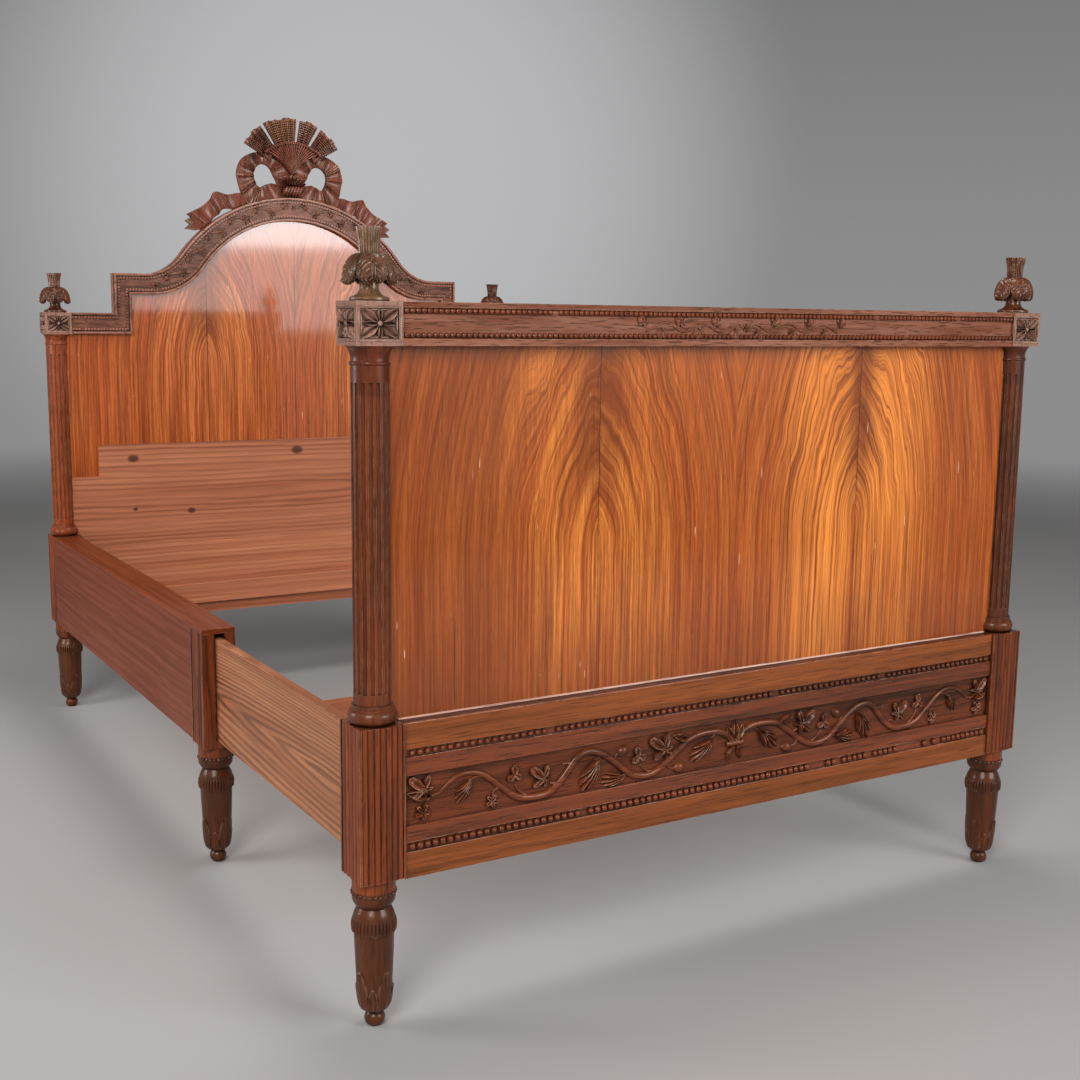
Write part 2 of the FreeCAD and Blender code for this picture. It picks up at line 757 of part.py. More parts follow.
def arch_run(shoulder_x, shoulder_z, flare_end, rise, crown_share, inset):
    """The arch from its right shoulder over the apex to the left one; inset moves it towards its middle.

    The crown is one arc. It meets a hollow arc at each side, which runs out level at the shoulder.
    """
    both_r = bulge_radius(2 * flare_end, rise)
    crown = both_r * crown_share - inset
    flare = both_r * (1 - crown_share) + inset
    join_x = crown * flare_end / both_r
    join_z = shoulder_z + rise - both_r * crown_share + crown * (1 - rise / both_r)
    base_z = shoulder_z - inset
    return [
        (shoulder_x, base_z),
        (flare_end, base_z),
        (join_x, join_z, flare, 1),
        (-join_x, join_z, crown, -1),
        (-flare_end, base_z, flare, 1),
        (-shoulder_x, base_z),
    ]


return_top = head_capital_low + s.head_capital_high
return_low = return_top - s.head_return_wide
shoulder_z = return_top + s.head_shoulder_high
inner_shoulder_z = return_low + s.head_shoulder_high
return_end = head_axis_x - s.head_capital_wide / 2
riser_out = return_end - s.head_return_long
riser_in = riser_out - s.head_riser_wide
flare_end = riser_out - s.head_shoulder_long
inner_flare_end = riser_in - s.head_inner_shoulder_long
panel_edge = head_axis_x - s.shaft_r + s.panel_tongue
board_out = panel_edge - s.head_edge_board_wide


def outer_line(inset):
    """The headboard's outer line at the top, moved in by the inset, from right to left."""
    side_x = riser_out - inset
    run = arch_run(side_x, shoulder_z, flare_end, s.head_arch_high, CROWN_SHARE, inset)
    return [(return_end, return_top - inset), (side_x, return_top - inset)] + run + [
        (-side_x, return_top - inset), (-return_end, return_top - inset)]


def inner_line(inset):
    """The moulding's inner line, moved out by the inset, from right to left."""
    side_x = riser_in + inset
    run = arch_run(side_x, inner_shoulder_z, inner_flare_end, s.head_inner_arch_high, INNER_CROWN_SHARE,
                   -inset)
    return [(return_end, return_low + inset), (side_x, return_low + inset)] + run + [
        (-side_x, return_low + inset), (-return_end, return_low + inset)]


def reversed_run(points):
    """The same outline walked the other way."""
    turned_back = []
    for index in range(len(points) - 1, -1, -1):
        point = points[index][:2]
        after = points[index + 1] if index + 1 < len(points) else None
        if after is not None and len(after) == 4:
            turned_back.append((point[0], point[1], after[2], -after[3]))
        else:
            turned_back.append(point)
    return turned_back


def make_headboard_boards():
    """The headboard's veneered boards, cut from one arched blank at their joints, and the pine below."""
    edge = panel_edge
    low_out = block_low + s.veneer_low_out
    low_in = block_low + s.veneer_low_in
    right_edge = [
        (-board_out, low_in),
        (board_out, low_in),
        (board_out, low_out),
        (edge, low_out),
        (edge, head_capital_low),
        (return_end, head_capital_low),
    ]
    left_edge = [(-return_end, head_capital_low), (-edge, head_capital_low), (-edge, low_out),
                 (-board_out, low_out)]
    blank = doc.addObject("PartDesign::Body", "head_blank")
    pad(blank, "head_blank_pad", right_edge + outer_line(0) + left_edge, "XZ_Plane", s.head_panel_thick)
    place(blank, y=head_panel_back)
    z_span = (block_low, shoulder_z + s.head_arch_high + s.overrun)
    y_span = (head_panel_front, head_panel_back)
    spans = (("outer", (board_out, edge)), ("middle", (s.head_board_in, board_out)),
             ("inner", (0, s.head_board_in)))
    for side, word in ((-1, "left"), (1, "right")):
        for place_word, span in spans:
            label = "head_panel_%s_%s" % (place_word, word)
            strip = block(label + "_strip", mirrored(span, side), y_span, z_span)
            name_node(cut_from(blank, strip, label), label)
    block_in = head_axis_x - s.head_post_wide / 2
    joint = block_low + s.pine_joint
    pine = name_node(doc.addObject("PartDesign::Body", "head_pine_upper"), "head_pine_upper")
    pad(pine, "head_pine_upper_pad", [
        (-block_in, joint), (block_in, joint), (block_in, block_top), (edge, block_top), (edge, low_out),
        (board_out, low_out), (board_out, low_in), (-board_out, low_in),
        (-board_out, low_out), (-edge, low_out), (-edge, block_top), (-block_in, block_top),
    ], "XZ_Plane", s.head_panel_thick)
    place(pine, y=head_panel_back)
    board("head_pine_lower", (-block_in, block_in), y_span, (block_low - s.pine_drop, joint))
    board("head_batten", (-block_in, block_in), (head_block_front, head_panel_front),
          (block_low + s.batten_low, block_low + s.batten_high))


def cut_from(blank, strip, label):
    """The part of a blank that lies inside a strip."""
    shared = doc.addObject("Part::Common", label)
    shared.Base = blank
    shared.Tool = strip
    return shared


def make_head_mouldings():
    """The moulded frame of the headboard: two returns and the arch, with raised edges and bead bands."""
    blank = doc.addObject("PartDesign::Body", "head_moulding_blank")
    slab = outer_line(0) + reversed_run(inner_line(0))
    pad(blank, "head_moulding_slab", slab, "XZ_Plane", s.head_moulding_thick)
    bead_start = s.head_band_wide + s.head_bead_gap
    bead_end = bead_start + s.head_bead_wide
    bands = (
        ("edge", 0, s.head_band_wide, s.head_band_rise),
        ("bead", bead_start, bead_end, s.head_bead_rise),
    )
    for word, start, end, rise in bands:
        pad(blank, "head_outer_" + word, outer_line(start) + reversed_run(outer_line(end)), "XZ_Plane", rise,
            s.head_moulding_thick)
        pad(blank, "head_inner_" + word, inner_line(start) + reversed_run(inner_line(end)), "XZ_Plane", rise,
            s.head_moulding_thick)
    place(blank, y=head_panel_front)
    y_span = (head_front, head_panel_front)
    z_span = (return_low - s.overrun, shoulder_z + s.head_arch_high + s.overrun)
    for side, word in ((-1, "left"), (1, "right")):
        strip = block("head_return_strip_" + word, mirrored((riser_out, return_end), side), y_span, z_span)
        label = "head_return_" + word
        name_node(cut_from(blank, strip, label), label)
    strip = block("head_arch_strip", (-riser_out, riser_out), y_span, z_span)
    name_node(cut_from(blank, strip, "head_arch"), "head_arch")


def flat_face(points, y):
    """An upright face at one depth from the same kind of points as an outline."""
    edges = []
    for index, start in enumerate(points):
        end = points[(index + 1) % len(points)]
        a = Vector(value(start[0]), y, value(start[1]))
        b = Vector(value(end[0]), y, value(end[1]))
        if len(end) == 2:
            edges.append(Part.makeLine(a, b))
            continue
        radius = value(end[2])
        chord = b - a
        sagitta = radius - math.sqrt(radius * radius - chord.Length ** 2 / 4)
        left = Vector(-chord.z, 0, chord.x).normalize()
        edges.append(Part.Arc(a, (a + b) * 0.5 + left * sagitta * end[3], b).toShape())
    return Part.Face(Part.Wire(edges))


def curved_edge(points):
    """One smooth edge through points, or a straight one between two."""
    if len(points) == 2:
        return Part.makeLine(points[0], points[1])
    curve = Part.BSplineCurve()
    curve.interpolate(points)
    return curve.toShape()


def crest_points(shares, side, reach, rise, apex, y):
    """Points of a crest outline from shares of its reach and rise."""
    return [Vector(side * across * reach, y, apex + up * rise) for across, up in shares]


def crest_seat():
    """The space below the headboard's top line, which the crest is scribed to."""
    low = block_top.value
    points = outer_line(0)
    closing = [(-return_end, Size(low, str(low))), (return_end, Size(low, str(low)))]
    deep = s.head_seat_deep.value
    face = flat_face(points + closing, head_panel_back.value - 2 * deep)
    return face.extrude(Vector(0, 3 * deep, 0))


def make_crest_ribbon(seat, apex, front):
    """The bow: two loops and two forked tails of flat ribbon, standing on the arch."""
    y = front
    reach = s.crest_loop_out.value
    rise = s.crest_loop_high.value
    thick = Vector(0, s.crest_thick.value, 0)
    tail_reach = s.crest_tail_out.value
    hub = s.crest_hub_r.value
    solids = [Part.makeBox(2 * hub, thick.y, s.crest_stalk_low.value, Vector(-hub, y, apex))]
    for side in (-1, 1):
        outer = crest_points(loop_outer_shares, side, reach, rise, apex, y)
        ring = Part.BSplineCurve()
        ring.interpolate(Points=outer, PeriodicFlag=True)
        hole = Part.BSplineCurve()
        hole.interpolate(Points=crest_points(loop_hole_shares, side, reach, rise, apex, y), PeriodicFlag=True)
        loop = Part.Face(Part.Wire(ring.toShape())).cut(Part.Face(Part.Wire(hole.toShape())))
        solids.append(loop.extrude(thick))
        runs = [tail_top_shares, tail_side_shares]
        runs += [tail_notch_shares[index:index + 2] for index in range(len(tail_notch_shares) - 1)]
        runs += [tail_low_shares, tail_back_shares, (tail_back_shares[-1], tail_top_shares[0])]
        runs.insert(2, (tail_side_shares[-1], tail_notch_shares[0]))
        edges = [curved_edge(crest_points(run, side, tail_reach, rise, apex, y)) for run in runs]
        solids.append(Part.Face(Part.Wire(Part.__sortEdges__(edges))).extrude(thick))
    return solids[0].fuse(solids[1:]).cut(seat).removeSplitter()


def fan_spot(radius, degrees, y, centre_z):
    """A point of the sheaf's fan, at an angle from upright."""
    turn = math.radians(degrees)
    return Vector(radius * math.sin(turn), y, centre_z + radius * math.cos(turn))


def fan_groove(angle, low_r, y, centre_z):
    """A cutter for one straight groove of V section, which runs outwards in the sheaf's front face."""
    wide = s.crest_groove_r.value
    start = fan_spot(low_r, angle, y, centre_z)
    across = fan_spot(wide, angle + 90, 0, 0)
    deep = Vector(0, wide, 0)
    corners = [start - across - deep, start + across - deep, start + deep, start - across - deep]
    return Part.Face(Part.makePolygon(corners)).extrude(fan_spot(s.crest_fan_high.value, angle, 0, 0))


def make_crest_sheaf(apex, back):
    """The sheaf: stalks that spread from one point, and a fan of ears in four bunches."""
    centre_z = apex + s.crest_stalk_low.value
    tie_r = s.crest_tie_high.value - s.crest_stalk_low.value
    rim_r = s.crest_fan_high.value - s.crest_stalk_low.value
    notch = 2 * s.crest_groove_r.value
    fan_y = back - s.crest_fan_thick.value
    stalk_y = back - s.crest_stalk_thick.value
    step = 2 * FAN_HALF_ANGLE / FAN_RAYS
    rim = [fan_spot(rim_r - notch, -FAN_HALF_ANGLE, fan_y, centre_z)]
    for index in range(FAN_RAYS):
        start = -FAN_HALF_ANGLE + step * index
        rim.append(fan_spot(rim_r, start + step / 2, fan_y, centre_z))
        rim.append(fan_spot(rim_r - notch, start + step, fan_y, centre_z))
    inner = [fan_spot(tie_r, angle, fan_y, centre_z) for angle in (FAN_HALF_ANGLE, 0, -FAN_HALF_ANGLE)]
    edges = [Part.makeLine(rim[index], rim[index + 1]) for index in range(len(rim) - 1)]
    edges.append(Part.makeLine(rim[-1], inner[0]))
    edges.append(Part.Arc(*inner).toShape())
    edges.append(Part.makeLine(inner[2], rim[0]))
    fan = Part.Face(Part.Wire(edges)).extrude(Vector(0, s.crest_fan_thick.value, 0))
    gap_low = tie_r + notch
    for angle in FAN_GAP_ANGLES:
        wedge = Part.makePolygon([
            fan_spot(gap_low, angle, stalk_y, centre_z),
            fan_spot(2 * rim_r, angle - FAN_GAP_HALF_ANGLE, stalk_y, centre_z),
            fan_spot(2 * rim_r, angle + FAN_GAP_HALF_ANGLE, stalk_y, centre_z),
            fan_spot(gap_low, angle, stalk_y, centre_z),
        ])
        fan = fan.cut(Part.Face(wedge).extrude(Vector(0, 2 * s.crest_stalk_thick.value, 0)))
    for index in range(1, FAN_RAYS):
        fan = fan.cut(fan_groove(-FAN_HALF_ANGLE + step * index, tie_r, fan_y, centre_z))
    foot_r = s.crest_hub_r.value / 2
    ends = [
        fan_spot(tie_r, -STALK_HALF_ANGLE, stalk_y, centre_z),
        fan_spot(tie_r, 0, stalk_y, centre_z),
        fan_spot(tie_r, STALK_HALF_ANGLE, stalk_y, centre_z),
    ]
    low = (fan_spot(foot_r, 90, stalk_y, centre_z), fan_spot(foot_r, -90, stalk_y, centre_z))
    stalk_edges = [Part.Arc(*ends).toShape(), Part.makeLine(ends[2], low[0]), Part.makeLine(low[0], low[1]),
                   Part.makeLine(low[1], ends[0])]
    stalks = Part.Face(Part.Wire(stalk_edges)).extrude(Vector(0, s.crest_stalk_thick.value, 0))
    for index in range(1, FAN_RAYS):
        angle = -STALK_HALF_ANGLE + 2 * STALK_HALF_ANGLE / FAN_RAYS * index
        stalks = stalks.cut(fan_groove(angle, 2 * foot_r, stalk_y, centre_z))
    return fan.fuse(stalks).removeSplitter()


def make_crest_knot(seat, apex, back):
    """The knot of the bow: a domed disc that is flattened where it meets the arch."""
    radius = s.crest_knot_r.value
    thick = s.crest_knot_thick.value
    centre = Vector(0, back, apex + radius * KNOT_RISE_SHARE)
    knot = Part.makeCylinder(radius, thick, centre, Vector(0, -1, 0))
    dome = Part.makeCone(radius, radius / 2, thick / 2, centre - Vector(0, thick / 2, 0), Vector(0, -1, 0))
    knot = knot.common(dome.fuse(Part.makeCylinder(radius, thick / 2, centre, Vector(0, -1, 0))))
    return knot.cut(seat).removeSplitter()


def make_crest():
    """The carved crest on the headboard's apex."""
    seat = crest_seat()
    apex = (shoulder_z + s.head_arch_high).value
    ribbon_front = (head_panel_back - s.crest_thick).value
    shapes = (
        ("crest_ribbon", make_crest_ribbon(seat, apex, ribbon_front)),
        ("crest_sheaf", make_crest_sheaf(apex, ribbon_front)),
        ("crest_knot", make_crest_knot(seat, apex, ribbon_front)),
    )
    for label, shape in shapes:
        item = name_node(doc.addObject("Part::Feature", label), label)
        item.Shape = shape
        item.Placement = Placement()


def check_document():
    """Stops the build if any object failed or any sub-part has no sound shape."""
    for item in doc.Objects:
        if "Invalid" in item.State or "Error" in item.State:
            raise RuntimeError("%s is in state %s" % (item.Label, item.State))
    for item in nodes:
        shape = item.Shape
        if shape.isNull() or not shape.isValid() or not shape.Solids:
            raise RuntimeError("%s has no sound shape" % item.Label)


def write_parts():
    """One STEP file for each sub-part."""
    os.makedirs("parts", exist_ok=True)
    for item in nodes:
        item.Shape.exportStep(os.path.join("parts", item.Label + ".step"))


make_posts()
make_foot_top_rail()
make_foot_bottom_rail()
make_foot_panel()
make_side_rails()
make_middle()
make_headboard_boards()
make_head_mouldings()
make_crest()
doc.recompute()
check_document()
write_parts()
print("sub-parts: %d" % len(nodes))
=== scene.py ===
"""Looks of the extendable bed: woods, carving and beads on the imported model, a plain studio and the camera."""
import math
import random

import bmesh
import bpy
from mathutils import Matrix, Vector


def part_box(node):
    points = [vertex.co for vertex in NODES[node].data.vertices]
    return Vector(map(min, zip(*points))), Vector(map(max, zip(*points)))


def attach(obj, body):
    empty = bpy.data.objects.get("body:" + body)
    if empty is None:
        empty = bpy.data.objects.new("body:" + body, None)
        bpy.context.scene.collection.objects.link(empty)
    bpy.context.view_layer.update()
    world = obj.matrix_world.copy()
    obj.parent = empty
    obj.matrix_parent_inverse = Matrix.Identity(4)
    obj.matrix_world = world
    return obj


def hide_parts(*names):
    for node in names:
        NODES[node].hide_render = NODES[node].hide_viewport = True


bl_info = {
    "name": "Extendable bed looks",
    "version": (1, 0, 0),
    "blender": (4, 5, 0),
    "location": "View3D > Sidebar > Bed",
    "description": "Dresses the packed bed with woods, carving, bead rows and a studio",
    "category": "Object",
}

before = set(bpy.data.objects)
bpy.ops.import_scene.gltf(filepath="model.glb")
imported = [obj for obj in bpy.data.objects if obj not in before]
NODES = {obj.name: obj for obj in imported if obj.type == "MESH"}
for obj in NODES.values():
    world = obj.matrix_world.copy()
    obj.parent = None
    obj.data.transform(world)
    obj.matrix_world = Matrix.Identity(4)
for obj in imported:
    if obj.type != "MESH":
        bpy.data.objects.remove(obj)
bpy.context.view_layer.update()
HEAD, FOOT = "head_section", "foot_section"
CARVED, TURNED = "dark_carved_wood", "dark_turned_wood"
MERGE_WITHIN, LEAST_EDGE, BUMP_DEPTH = 1e-6, 1e-7, 0.0006
VARNISH_TINT = (1.0, 0.78, 0.58)
SIDES = ((-1, "left"), (1, "right"))
QUARTER = math.pi / 2
WOODS = {}


def middle_of(node):
    """The middle of a node's box at rest."""
    low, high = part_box(node)
    return (low + high) / 2


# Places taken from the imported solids, in metres. For each end of the bed: its label, its body, the axis of its
# right post, the top of its capitals, and how wide and how high they are
FOOT_WIDE, HEAD_WIDE = 0.069, 0.065
FOOT_AXIS, HEAD_AXIS = middle_of("foot_finial_right"), middle_of("head_finial_right")
MID_AXIS = middle_of("mid_post_right")
FOOT_TOP, HEAD_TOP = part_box("foot_finial_right")[0].z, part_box("head_finial_right")[0].z
ENDS = (("foot", FOOT, FOOT_AXIS, FOOT_TOP, FOOT_WIDE, 0.060), ("head", HEAD, HEAD_AXIS, HEAD_TOP, HEAD_WIDE, 0.055))
FRIEZE_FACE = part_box("foot_rail_board")[0].y
PANEL_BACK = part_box("head_panel_inner_right")[1].y
ARCH_FRONT, ARCH_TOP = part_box("head_arch")[0].y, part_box("head_arch")[1].z


def around(count):
    """Even angles round a circle."""
    return [math.tau * j / count for j in range(count)]


def linked(name, data):
    """A new object in the scene around its data."""
    piece = bpy.data.objects.new(name, data)
    bpy.context.scene.collection.objects.link(piece)
    return piece


def carving_plane(x, y, z, side=0):
    """A plane that faces the foot, or outwards from the bed's left (-1) or right (1): x along it, y up, z out."""
    turn = Matrix.Rotation(side * QUARTER, 4, "Z") @ Matrix.Rotation(QUARTER, 4, "X")
    return Matrix.Translation((x, y, z)) @ turn


class Shell:
    """Vertices and faces gathered for one piece."""

    def __init__(self):
        self.verts = []
        self.faces = []

    def take(self, verts, faces):
        """Adds vertices, and faces that count from the first of them."""
        first = len(self.verts)
        self.verts.extend(verts)
        self.faces.extend([first + index for index in face] for face in faces)

    def join(self, mesh):
        """Takes over another mesh."""
        self.take([vertex.co.copy() for vertex in mesh.vertices], [face.vertices for face in mesh.polygons])

    def sheet(self, rows, wrap=False, cap=False):
        """A skin over rows of points; it may close round each row and be capped at both ends."""
        wide, count = len(rows[0]), len(rows)
        faces = []
        for i in range(count - 1):
            for j in range(wide if wrap else wide - 1):
                a, b = i * wide + j, i * wide + (j + 1) % wide
                faces.append((a, b, b + wide, a + wide))
        if cap:
            faces += [range(wide)[::-1], range((count - 1) * wide, count * wide)]
        self.take([spot for row in rows for spot in row], faces)

    def plate(self, loops):
        """A skin round loops of front and back points, closed by a strip at its first and its last loop."""
        first, wide = len(self.verts), len(loops[0])
        self.sheet(loops, wrap=True)
        for start, way in ((first, -1), (first + (len(loops) - 1) * wide, 1)):
            for j in range(wide // 2 - 1):
                self.faces.append([start + j, start + j + 1, start + wide - 2 - j, start + wide - 1 - j][::way])

    def relief(self, rows, base):
        """A closed plate: rows of front points over the same outline pressed flat at the base height."""
        self.plate([list(row) + [(x, y, base) for x, y, z in reversed(row)] for row in rows])

    def tube(self, path, radius, sides, flat=1.0):
        """A round stem along a path in the carving plane, with its radius by its share of the path's steps."""
        rows = []
        last = len(path) - 1
        for i, spot in enumerate(path):
            way = (Vector(path[min(i + 1, last)]) - Vector(path[max(i - 1, 0)])).normalized()
            side = Vector((-way.y, way.x, 0)).normalized()
            thick = radius(i / last)
            rows.append([Vector(spot) + side * thick * math.cos(turn)
                         + Vector((0, 0, thick * flat * math.sin(turn))) for turn in around(sides)])
        self.sheet(rows, wrap=True, cap=True)

    def lathe(self, profile, sides):
        """A turned form about Z from (radius, height) points."""
        self.sheet([[(radius * math.cos(turn), radius * math.sin(turn), high) for turn in around(sides)]
                    for radius, high in profile], wrap=True, cap=True)

    def made(self, name, wood=None, place=None, angle=38.0):
        """The finished object at the origin, with its place in its mesh."""
        mesh = bpy.data.meshes.new(name)
        mesh.from_pydata([tuple(v) for v in self.verts], [], [tuple(f) for f in self.faces])
        work = bmesh.new()
        work.from_mesh(mesh)
        bmesh.ops.remove_doubles(work, verts=work.verts, dist=MERGE_WITHIN)
        bmesh.ops.dissolve_degenerate(work, edges=work.edges, dist=LEAST_EDGE)
        bmesh.ops.recalc_face_normals(work, faces=work.faces)
        work.to_mesh(mesh)
        work.free()
        if place is not None:
            mesh.transform(place)
        mesh.shade_smooth()
        mesh.set_sharp_from_angle(angle=math.radians(angle))
        if wood:
            mesh.materials.append(WOODS[wood])
        return linked(name, mesh)

    def dressed(self, name, wood, body, place=None, node=None, slot=CARVED, angle=38.0):
        """The finished piece in its wood on its body, in place of the node that it stands for."""
        piece = self.made(name, wood, place, angle)
        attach(piece, body)
        if node:
            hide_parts(node)


def between(a, b, c, d, steps):
    """Spots of a smooth run from b up to c, with a before them and d behind."""
    return [((2 * b) + (c - a) * t + (2 * a - 5 * b + 4 * c - d) * t * t + (3 * b - a - 3 * c + d) * t * t * t) / 2
            for t in (k / steps for k in range(steps))]


def smooth_line(points, steps):
    """A smooth run of points through the given ones."""
    spots = [Vector(p) for p in points]
    spots = [spots[0] * 2 - spots[1]] + spots + [spots[-1] * 2 - spots[-2]]
    line = [spot for i in range(1, len(spots) - 2) for spot in between(*spots[i - 1:i + 3], steps)]
    return line + [spots[-2]]


def tinted(colour, red, green=None, blue=None):
    """A colour with its parts multiplied, each by the factor before it where it has none of its own."""
    green = red if green is None else green
    blue = green if blue is None else blue
    return [min(1.0, part * factor) for part, factor in zip(colour, (red, green, blue))]


def socket(sockets, key):
    """An enabled socket by its identifier, or else by its name."""
    for trait in ("identifier", "name"):
        for item in sockets:
            if getattr(item, trait) == key and item.enabled:
                return item
    raise KeyError(key)


def feed(tree, target, given):
    """Links a wire into a socket, or sets the socket's value; a colour gets its alpha."""
    if isinstance(given, Wire):
        tree.links.new(given.end, target)
    elif target.type == "RGBA":
        target.default_value = (*given[:3], 1.0)
    else:
        target.default_value = given


def add(tree, kind, settings=None, **inputs):
    """A new node with its settings and its inputs, as the wire of its first output."""
    made = tree.nodes.new(kind)
    for key, given in (settings or {}).items():
        setattr(made, key, given)
    for key, given in inputs.items():
        feed(tree, socket(made.inputs, key), given)
    return Wire(tree, made.outputs[0])


def calc(tree, how, *values):
    """One sum in a node tree."""
    made = tree.nodes.new("ShaderNodeMath")
    made.operation = how
    for target, given in zip(made.inputs, values):
        feed(tree, target, given)
    return Wire(tree, made.outputs[0])


def sum_of(how, swapped=False):
    """A sum in which a wire takes part, as a method."""
    def worked(wire, other):
        """The result of the sum, as a wire."""
        return calc(wire.tree, how, *((other, wire) if swapped else (wire, other)))
    return worked


class Wire:
    """A node's output, which takes part in sums; in brackets, another output of its node."""

    def __init__(self, tree, end):
        self.tree = tree
        self.end = end

    def __getitem__(self, key):
        return Wire(self.tree, socket(self.end.node.outputs, key))

    __add__, __sub__, __mul__ = sum_of("ADD"), sum_of("SUBTRACT"), sum_of("MULTIPLY")
    __truediv__, __pow__, least = sum_of("DIVIDE"), sum_of("POWER"), sum_of("MAXIMUM")
    __rsub__, __rtruediv__ = sum_of("SUBTRACT", True), sum_of("DIVIDE", True)

    def __abs__(self):
        return calc(self.tree, "ABSOLUTE", self)

    def spread(self, low, high, to_low=0.0, to_high=1.0):
        """The value moved from one range to another and kept inside it."""
        return add(self.tree, "ShaderNodeMapRange", {"interpolation_type": "SMOOTHSTEP"}, Value=self,
                   **{"From Min": low, "From Max": high, "To Min": to_low, "To Max": to_high})

    def mix(self, first, second, how="MIX"):
        """Two colours mixed by this factor."""
        return add(self.tree, "ShaderNodeMix", {"data_type": "RGBA", "blend_type": how}, Factor_Float=self,
                   A_Color=first, B_Color=second)["Result_Color"]

    def noise(self, scale, detail=2.0, rough=0.5, warp=0.0):
        """A soft random pattern over these coordinates."""
        return add(self.tree, "ShaderNodeTexNoise", None, Vector=self, Scale=scale, Detail=detail, Roughness=rough,
                   Distortion=warp)

    def vector(self, how, other):
        """One vector sum of this and another."""
        return add(self.tree, "ShaderNodeVectorMath", {"operation": how}, Vector=self, Vector_001=other)

    def parts(self):
        """Its X, Y and Z."""
        split = add(self.tree, "ShaderNodeSeparateXYZ", None, Vector=self)
        return split["X"], split["Y"], split["Z"]


def combined(tree, x, y, z):
    """A vector from its parts."""
    return add(tree, "ShaderNodeCombineXYZ", None, X=x, Y=y, Z=z)


SOCKET_KINDS = {"Vector": "NodeSocketVector", "Geometry": "NodeSocketGeometry", "Material": "NodeSocketMaterial",
                "Piece": "NodeSocketObject", "Seed": "NodeSocketInt", "Count": "NodeSocketInt"}


def new_group(name, kind, outputs, **inputs):
    """An empty node group with named inputs, each with its default, and outputs."""
    tree = bpy.data.node_groups.new(name, kind)
    for label, default in inputs.items():
        socket_kind = "NodeSocketFloat" if isinstance(default, float) else SOCKET_KINDS[label]
        made = tree.interface.new_socket(label, in_out="INPUT", socket_type=socket_kind)
        if default is not None:
            made.default_value = default
    for label in outputs:
        tree.interface.new_socket(label, in_out="OUTPUT", socket_type=SOCKET_KINDS.get(label, "NodeSocketFloat"))
    return tree, Wire(tree, tree.nodes.new("NodeGroupInput").outputs[0])


def close_group(tree, **outputs):
    """Ends a group by feeding its outputs."""
    result = tree.nodes.new("NodeGroupOutput")
    for label, given in outputs.items():
        feed(tree, result.inputs[label], given)


def placed_group(tree, name, **inputs):
    """A shared group placed in a material."""
    made = tree.nodes.new("ShaderNodeGroup")
    made.node_tree = bpy.data.node_groups[name]
    for key, given in inputs.items():
        feed(tree, made.inputs[key], given)
    return Wire(tree, made.outputs[0])


def long_grain_group():
    """Wood grain that runs along Z: broad clouds, streaks and short open pores."""
    tree, given = new_group("long grain", "ShaderNodeTree", ("Clouds", "Streaks", "Pores"), Vector=None, Fineness=40.0,
                            Stretch=25.0)
    fine, vector = given["Fineness"], given["Vector"]
    drawn = vector.vector("MULTIPLY", combined(tree, fine, fine, fine / given["Stretch"]))
    bent = drawn.vector("ADD", vector.noise(3.0, 2.0))
    close_group(tree, Clouds=drawn.noise(0.16, 2.0).spread(0.3, 0.7),
                Streaks=bent.noise(1.0, 4.0, 0.62).spread(0.3, 0.72), Pores=drawn.noise(6.0, 1.0).spread(0.58, 0.68))


def wear_and_shade_group():
    """Where edges are rubbed pale, and where hollows get a painted shade from ambient occlusion."""
    tree, given = new_group("edge wear", "ShaderNodeTree", ("Rubbed", "Hollow"), Vector=None, Width=0.0015, Amount=0.6,
                            Reach=0.012)
    soft = add(tree, "ShaderNodeBevel", {"samples": 4}, Radius=given["Width"])
    same = soft.vector("DOT_PRODUCT", add(tree, "ShaderNodeNewGeometry")["Normal"])["Value"]
    around_it = add(tree, "ShaderNodeAmbientOcclusion", {"samples": 4}, Distance=given["Reach"])["AO"]
    # Painted shade: hollows hidden by their surroundings are marked by ambient occlusion
    hollow = around_it.spread(0.92, 0.38)
    patch = given["Vector"].noise(55.0, 3.0, 0.7).spread(0.42, 0.62)
    close_group(tree, Rubbed=same.spread(0.995, 0.80) * patch * (1.0 - hollow) * given["Amount"], Hollow=hollow)


def nested_arches_group():
    """Growth lines nested like pointed arches: upright below, closing over the middle above the turn."""
    tree, given = new_group(
        "nested arches", "ShaderNodeTree", ("Lines", "Bands", "Reach"), Across=0.0, Along=0.0, Steepness=1.0,
        Lines=60.0, Wobble=0.05, Seed=0.0, Point=1.6, Drift=0.6)
    across, along, point, lines, seed = (given[key] for key in ("Across", "Along", "Point", "Lines", "Seed"))
    beside = abs(across)
    total = beside ** point + (along.least(0.0) * given["Steepness"]) ** point
    rise = along.spread(-0.20, 0.25, 0.08, 1.0) * beside.spread(0.24, 0.10, 0.22, 1.0)
    wave = (combined(tree, across * 2.6, seed, along).noise(5.0, 3.0, 0.50, 0.3) - 0.5) * rise * given["Wobble"]
    reach = total ** (1.0 / point) + wave
    far = along * given["Drift"]
    fine = combined(tree, reach * lines, seed, far)
    broad = combined(tree, reach * (lines * 0.2), seed, far * 0.6)
    close_group(tree, Lines=fine.noise(1.0, 4.0, 0.68).spread(0.30, 0.72),
                Bands=broad.noise(1.0, 2.0).spread(0.36, 0.68), Reach=reach)


